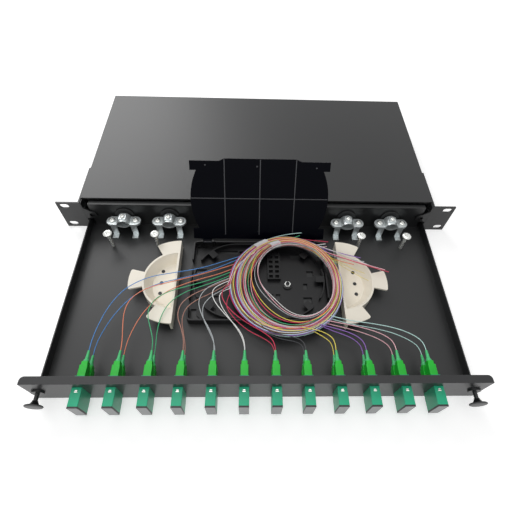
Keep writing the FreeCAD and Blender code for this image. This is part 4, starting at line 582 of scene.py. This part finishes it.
def curved_on(path, end, steps=22):
    """The path carried on to an end by a quadratic curve, (1 - t) squared * last + 2 t (1 - t) *
    middle + t squared * end, which leaves in the path's own direction."""
    last = path[-1]
    ahead = last - path[-2]
    ahead /= np.linalg.norm(ahead)
    middle = last + ahead * np.linalg.norm(end - last) * 0.5
    t = np.linspace(1 / steps, 1, steps)[:, None]
    return np.vstack([path, (1 - t) ** 2 * last + 2 * t * (1 - t) * middle + t * t * end])


def strand_path(start, layer, place_in_layer, sway, leave, loose):
    """Clockwise from the place where a pigtail meets the coil, with twelve points to a radian. The
    three fibres of a layer lie side by side and sway together by two sines of the angle. Each
    turn moves three lanes in or out, so that they never cross. The offset of the start fades by a
    cosine over the first 75 degrees. A loose fibre is pulled towards the middle by loose *
    exp(-((turned - loose place) / spread) squared) on its last turn."""
    first = math.atan2(start[1] - OUTER_OVAL[0][1], start[0] - OUTER_OVAL[0][0]) - math.radians(4)
    total = (first - leave) % TURN + 2 * TURN
    loose_at = total - (LOOSE_AT - leave) % TURN
    turned_by = np.linspace(0, total, int(total * 12))
    angle = first - turned_by
    lanes = 3 * (turned_by + (leave - first) % TURN) / TURN + place_in_layer
    inward = layer % 2 == 1
    share = INWARD_START - LANE * lanes if inward else OUTWARD_START + LANE * lanes
    share = share + 0.035 * np.sin(angle + sway[0]) + 0.02 * np.sin(2 * angle + sway[1])
    path = orbit(angle, share, layer)
    toward = np.array(INNER_OVAL[0]) - path[:, :2]
    toward /= np.linalg.norm(toward, axis=1)[:, None]
    bell = np.exp(-((turned_by - loose_at) / LOOSE_SPREAD) ** 2)
    path[:, :2] += toward * (loose * bell)[:, None]
    fade = 0.5 + 0.5 * np.cos(np.clip(turned_by / START_FADE, 0.0, 1.0) * math.pi)
    return path + (np.array(start) - path[0]) * fade[:, None]


def coil_piece(shape, name, mat):
    """Builds a mesh of the coil, which rides on the drawer."""
    piece = shape.build(name, mat, 60)
    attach(piece, "drawer")
    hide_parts("fibre_coil")
    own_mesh(piece)
    return piece


def make_coil():
    """One strand for every pigtail, continuing it in the same colour."""
    rng = np.random.default_rng(11)
    for layer, fibres in enumerate(LAYERS):
        sway = rng.uniform(0, TURN, 2)
        for place_in_layer, key in enumerate(fibres):
            number, port = key
            start = ROUTES[number - 1]["ab".index(port)][-1]
            leave, end = FLARES.get(key, (rng.uniform(20, 60), None))
            path = strand_path(start, layer, place_in_layer, sway, math.radians(leave),
                               LOOSE.get(key, 0.0))
            if end:
                path = curved_on(path, end)
            shape = Shape()
            shape.grid(tube(path, FIBRE), cap_start=True, cap_end=True)
            strand = coil_piece(shape, "coil_fibre_%02d%s" % key, JACKETS[number - 1])


def make_bare_fibres():
    """Two stripped fibres that spring from the coil over the right guide."""
    for number, (leave, end) in enumerate(BARE_ENDS):
        angles = np.radians(np.linspace(leave + 40, leave, 14))
        shape = Shape()
        path = curved_on(orbit(angles, 0.55 + 0.1 * number, BARE_LAYER), end)
        shape.grid(tube(path, BARE_FIBRE_RADIUS), cap_start=True, cap_end=True)
        coil_piece(shape, "stripped_fibre_%d" % (number + 1), JACKETS[8])


def wrap_wall(angle, share, inset):
    """One face of a wrap's wall. At each angle of the coil it is an ellipse round the bundle:
    centre + out * half width * cos t + up * half height * sin t, both less the inset."""
    centre = orbit(angle, share, WRAP_LAYER)
    out = oval(OUTER_OVAL, angle) - oval(INNER_OVAL, angle)
    out /= np.linalg.norm(out, axis=1)[:, None]
    turn = np.arange(28) * TURN / 28
    wall = np.repeat(centre[:, None], len(turn), axis=1)
    wall[..., :2] += out[:, None] * ((WRAP_HALF_WIDTH - inset) * np.cos(turn))[:, None]
    wall[..., 2] += (WRAP_HALF_HEIGHT - inset) * np.sin(turn)
    return wall


def make_wraps():
    """Two clear wraps that hold parts of the coil together: short open tubes, whose outer face
    turns in at the far end and comes back as the inner face to where it began."""
    for number, (start, end, share) in enumerate(WRAPS):
        angles = np.radians(np.linspace(start, end, 12))
        outer = wrap_wall(angles, share, 0.0)
        inner = wrap_wall(angles[::-1], share, WRAP_WALL)
        shape = Shape()
        shape.grid(np.concatenate([outer, inner, outer[:1]]))
        coil_piece(shape, "clear_wrap_%d" % (number + 1), CLEAR)


# Small parts drawn finer than in the CAD
def add_screw(shape, seat, head, depth, shank, steps=40):
    """A pan head with a cross recess, open below where it sits on its seat, and its threaded shank.
    The head is (radius, height) and the shank is (radius, length, pitch)."""
    shape.grid(turned(pan_head(*head), seat, (0, 0, 1), steps, cross_recess(head[0], depth)),
               cap_end=True)
    shape.grid(threaded_shank(*shank, seat), cap_end=True)


def make_screws():
    """Each clamp's two outer screws and the smaller one in the middle of its saddle."""
    shape = Shape()
    for x in CLAMP_X:
        for screw_x in (x - CLAMP_SCREW_X, x + CLAMP_SCREW_X):
            add_screw(shape, (screw_x, CLAMP_Y, SADDLE_TOP), (3.6, 2.4), 1.3, (1.9, 8.0, 0.7))
        add_screw(shape, (x, CLAMP_Y, BOSS_TOP), (2.9, 2.4), 1.2, (1.4, 3.0, 0.5))
    screws = shape.build("clamp_screw_heads", NICKEL, 50)
    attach(screws, "drawer")
    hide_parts("clamp_screws")


def make_anchor_bolts():
    """Round headed bolts with threaded shanks."""
    shape = Shape()
    for x in ANCHOR_X:
        add_screw(shape, (x, ANCHOR_Y, ANCHOR_HEAD_SEAT), (5.3, 3.2), 1.8, (2.2, 24.8, 0.8), 48)
    bolts = shape.build("anchor_bolt_threads", NICKEL, 50)
    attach(bolts, "drawer")
    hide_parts("anchor_bolts")


def boot_profile():
    """A collar, a quick step in, then a thin taper, as (distance, radius) pairs. The taper's radius
    falls in a straight line from 1.95 to 1.1 mm, less a shallow groove on two steps of every four."""
    collar = [(0.0, 0.4), (0.0, 2.55), (0.15, 2.7), (1.7, 2.7), (2.0, 2.6), (2.9, 1.95)]
    step = np.arange(1, 25)
    t = step / 24
    groove = np.where(np.isin(step % 4, (1, 2)), 0.12 * (1 - 0.5 * t), 0.0)
    taper = np.column_stack([2.9 + 8.5 * t, 1.95 - 0.85 * t - groove])
    return np.vstack([collar, taper, [(11.4, 0.46)]])


def make_boots():
    """The grooved boot of every connector."""
    shape = Shape()
    for x in ADAPTER_X:
        for z in PORT_Z:
            shape.grid(turned(boot_profile(), (x, BOOT_START_Y, z), (0, 1, 0), 20),
                       cap_start=True, cap_end=True)
    boots = shape.build("ribbed_boots", MINT, 35)
    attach(boots, "drawer")
    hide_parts("connector_boots")


# From the disc's face back: a rounded disc, a flare, a ringed neck and a plain stem, as pairs of
# distance and radius
PLUNGER_OUTLINE = (
    (0.0, 0.1), (0.0, 7.4), (0.2, 8.0), (0.6, 8.3), (1.0, 8.3), (1.4, 8.0), (1.6, 7.4),
    (1.7, 5.0), (2.6, 4.3), (3.6, 3.6), (4.4, 3.2), (4.9, 2.75),
    (5.0, 2.7), (5.3, 2.35), (5.6, 2.7), (5.85, 2.7), (5.9, 2.0),
    (18.7, 2.0), (18.8, 1.8), (18.8, 0.1),
)


def make_plungers():
    """The two push latches, turned about the line that they move along."""
    for side, name in ((-1, "latch_plunger_left"), (1, "latch_plunger_right")):
        shape = Shape()
        shape.grid(turned(PLUNGER_OUTLINE, (side * LATCH_X, PANEL_FACE_Y - PLUNGER_REACH, MID_HEIGHT),
                          (0, 1, 0), 40), cap_start=True, cap_end=True)
        plunger = shape.build(name + "_turned", NYLON, 35)
        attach(plunger, name.replace("latch_", ""))
        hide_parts(name)


def clip_surface(x, z, side):
    """A bent spring tab. At a share s of its length it stands off by 0.22 mm * sin(1.5 pi s)
    squared, its half width is 1.5 - 0.5 s, and its wall is 0.08 mm thick."""
    s = np.linspace(0, 1, 13)[:, None]
    half_width = (1.5 - 0.5 * s) * np.array((-1, 1, 1, -1))
    stand_off = 0.22 * np.sin(1.5 * np.pi * s) ** 2 + 0.08 * np.array((0, 0, 1, 1))
    y = PANEL_FACE_Y - NECK_LENGTH + CLIP_SHEET + CLIP_LENGTH * s
    return np.stack(np.broadcast_arrays(x + half_width, y, z + side * stand_off), axis=-1)


def make_clips():
    """A tab above and one below each adapter's neck."""
    shape = Shape()
    for x in ADAPTER_X:
        for side in (-1, 1):
            shape.grid(clip_surface(x, MID_HEIGHT + side * CLIP_HEIGHT, side),
                       cap_start=True, cap_end=True)
    clips = shape.build("bent_clip_tabs", SPRING, 30)
    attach(clips, "drawer")
    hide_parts("adapter_clips")


# Materials of the CAD nodes
LOOKS = {
    "housing_base": POWDER, "top_cover": POWDER, "ear_bracket_left": POWDER,
    "ear_bracket_right": POWDER, "latch_bracket_left": POWDER, "latch_bracket_right": POWDER,
    "ear_screws": NICKEL, "cover_screws": NICKEL, "drawer_tray": POWDER,
    "front_panel": PANEL_COAT, "cable_grommets": RUBBER, "clamp_brackets": ZINC,
    "clamp_saddles": ZINC, "clamp_screws": NICKEL, "anchor_bolts": NICKEL,
    "splice_tray": TRAY_PLASTIC, "splice_combs": TRAY_PLASTIC, "tray_studs": BLACK_OXIDE,
    "tray_nuts": NICKEL, "lid_hinge_pins": TRAY_PLASTIC, "splice_lid": LID_PLASTIC,
    "fibre_guide_left": IVORY, "fibre_guide_right": IVORY, "guide_rivets": NYLON,
    "adapter_clips": SPRING, "alignment_sleeves": CERAMIC, "connector_housings": GREEN,
    "ferrules": CERAMIC, "connector_boots": MINT, "dust_caps": CAP_FRONT_REFLECTION, "latch_grommets": NYLON,
    "latch_plunger_left": NYLON, "latch_plunger_right": NYLON, "fibre_coil": JACKETS[5]}
for number in range(1, 13):
    LOOKS["adapter_%02d" % number] = TEAL
    LOOKS["pigtail_pair_%02d" % number] = JACKETS[number - 1]

# Which pieces get rounded edges: the body they move with and the rounding in millimetres
ROUNDED = {
    "top_cover": ("housing", 0.4), "ear_bracket_left": ("housing", 0.4),
    "ear_bracket_right": ("housing", 0.4),
    "front_panel": ("drawer", 0.45), "drawer_tray": ("drawer", 0.35),
    "splice_tray": ("drawer", 0.3), "splice_lid": ("lid", 0.45),
    "clamp_brackets": ("drawer", 0.35), "clamp_saddles": ("drawer", 0.4),
    "fibre_guide_left": ("drawer", 0.8), "fibre_guide_right": ("drawer", 0.8),
    "connector_housings": ("drawer", 0.45), "dust_caps": ("drawer", 0.3),
    "cable_grommets": ("drawer", 0.6), "tray_nuts": ("drawer", 0.3),
}
for number in range(1, 13):
    ROUNDED["adapter_%02d" % number] = ("drawer", 0.3)
SHARP_ANGLE = math.radians(32)
RIB_WIDTH = 1.3


def dress_cad_nodes():
    """Gives each CAD node its material."""
    for name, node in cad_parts.items():
        node.data.materials.clear()
        node.data.materials.append(LOOKS[name])


def merged_copy(node, name):
    """A CAD node's mesh in its place, with its doubles merged and flat triangles joined. The node
    itself is left alone."""
    work = bmesh.new()
    work.from_mesh(node.data)
    work.transform(node.matrix_world)
    bmesh.ops.remove_doubles(work, verts=work.verts, dist=1e-6)
    bmesh.ops.dissolve_limit(work, angle_limit=math.radians(0.5), verts=work.verts, edges=work.edges)
    mesh = bpy.data.meshes.new(name)
    work.to_mesh(mesh)
    work.free()
    if "custom_normal" in mesh.attributes:
        mesh.attributes.remove(mesh.attributes["custom_normal"])
    return mesh


def read(items, name, width, kind=float):
    """One property of all vertices, edges, corners or faces of a mesh, as an array."""
    values = np.empty(len(items) * width, kind)
    items.foreach_get(name, values)
    return values.reshape(-1, width)


def rib_crests(mesh):
    """Which faces are narrow and lie level with the largest one: the width of a face is twice its
    area over the length round it."""
    points = read(mesh.vertices, "co", 3)
    ends = read(mesh.edges, "vertices", 2, np.int32)
    corner_edges = read(mesh.loops, "edge_index", 1, np.int32)[:, 0]
    first_corners = read(mesh.polygons, "loop_start", 1, np.int32)[:, 0]
    areas = read(mesh.polygons, "area", 1)[:, 0]
    normals = read(mesh.polygons, "normal", 3)
    edge_lengths = np.linalg.norm(points[ends[:, 0]] - points[ends[:, 1]], axis=1)
    around = np.add.reduceat(edge_lengths[corner_edges], first_corners)
    level = np.abs(normals @ normals[np.argmax(areas)]) > 0.95
    return level & (2 * areas / around < RIB_WIDTH * MM)


def round_piece(name, body, radius):
    """A merged copy of a CAD node with its sharp edges rounded, in the node's place."""
    mesh = merged_copy(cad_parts[name], name + "_rounded")
    mesh.materials.clear()
    mesh.materials.append(LOOKS[name])
    # Dust caps: faces that point straight to the front keep the grey of the painted reflection, and
    # all other faces take the dark colour of the black cap.
    if name == "dust_caps":
        mesh.materials.append(CAP_RIM)
        behind = read(mesh.polygons, "normal", 3)[:, 1] >= -0.9
        mesh.polygons.foreach_set("material_index", behind.astype(np.int32))
    # The lid's narrow rib crests take the lighter material: a painted highlight along the ribs.
    if name == "splice_lid":
        mesh.materials.append(LID_CREST_HIGHLIGHT)
        mesh.polygons.foreach_set("material_index", rib_crests(mesh).astype(np.int32))
    mesh.polygons.foreach_set("use_smooth", np.ones(len(mesh.polygons), bool))
    mesh.set_sharp_from_angle(angle=SHARP_ANGLE)
    piece = bpy.data.objects.new(name + "_rounded", mesh)
    bpy.context.collection.objects.link(piece)
    bevel = piece.modifiers.new("rounded edges", "BEVEL")
    bevel.width = radius * MM
    bevel.segments = 3
    bevel.limit_method = "ANGLE"
    bevel.angle_limit = SHARP_ANGLE
    bevel.harden_normals = True
    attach(piece, body)
    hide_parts(name)


make_camera()
make_leads()
make_coil()
make_bare_fibres()
make_wraps()
make_surroundings()
dress_cad_nodes()
make_screws()
make_anchor_bolts()
make_boots()
make_plungers()
make_clips()
for name, (body, radius) in ROUNDED.items():
    round_piece(name, body, radius)
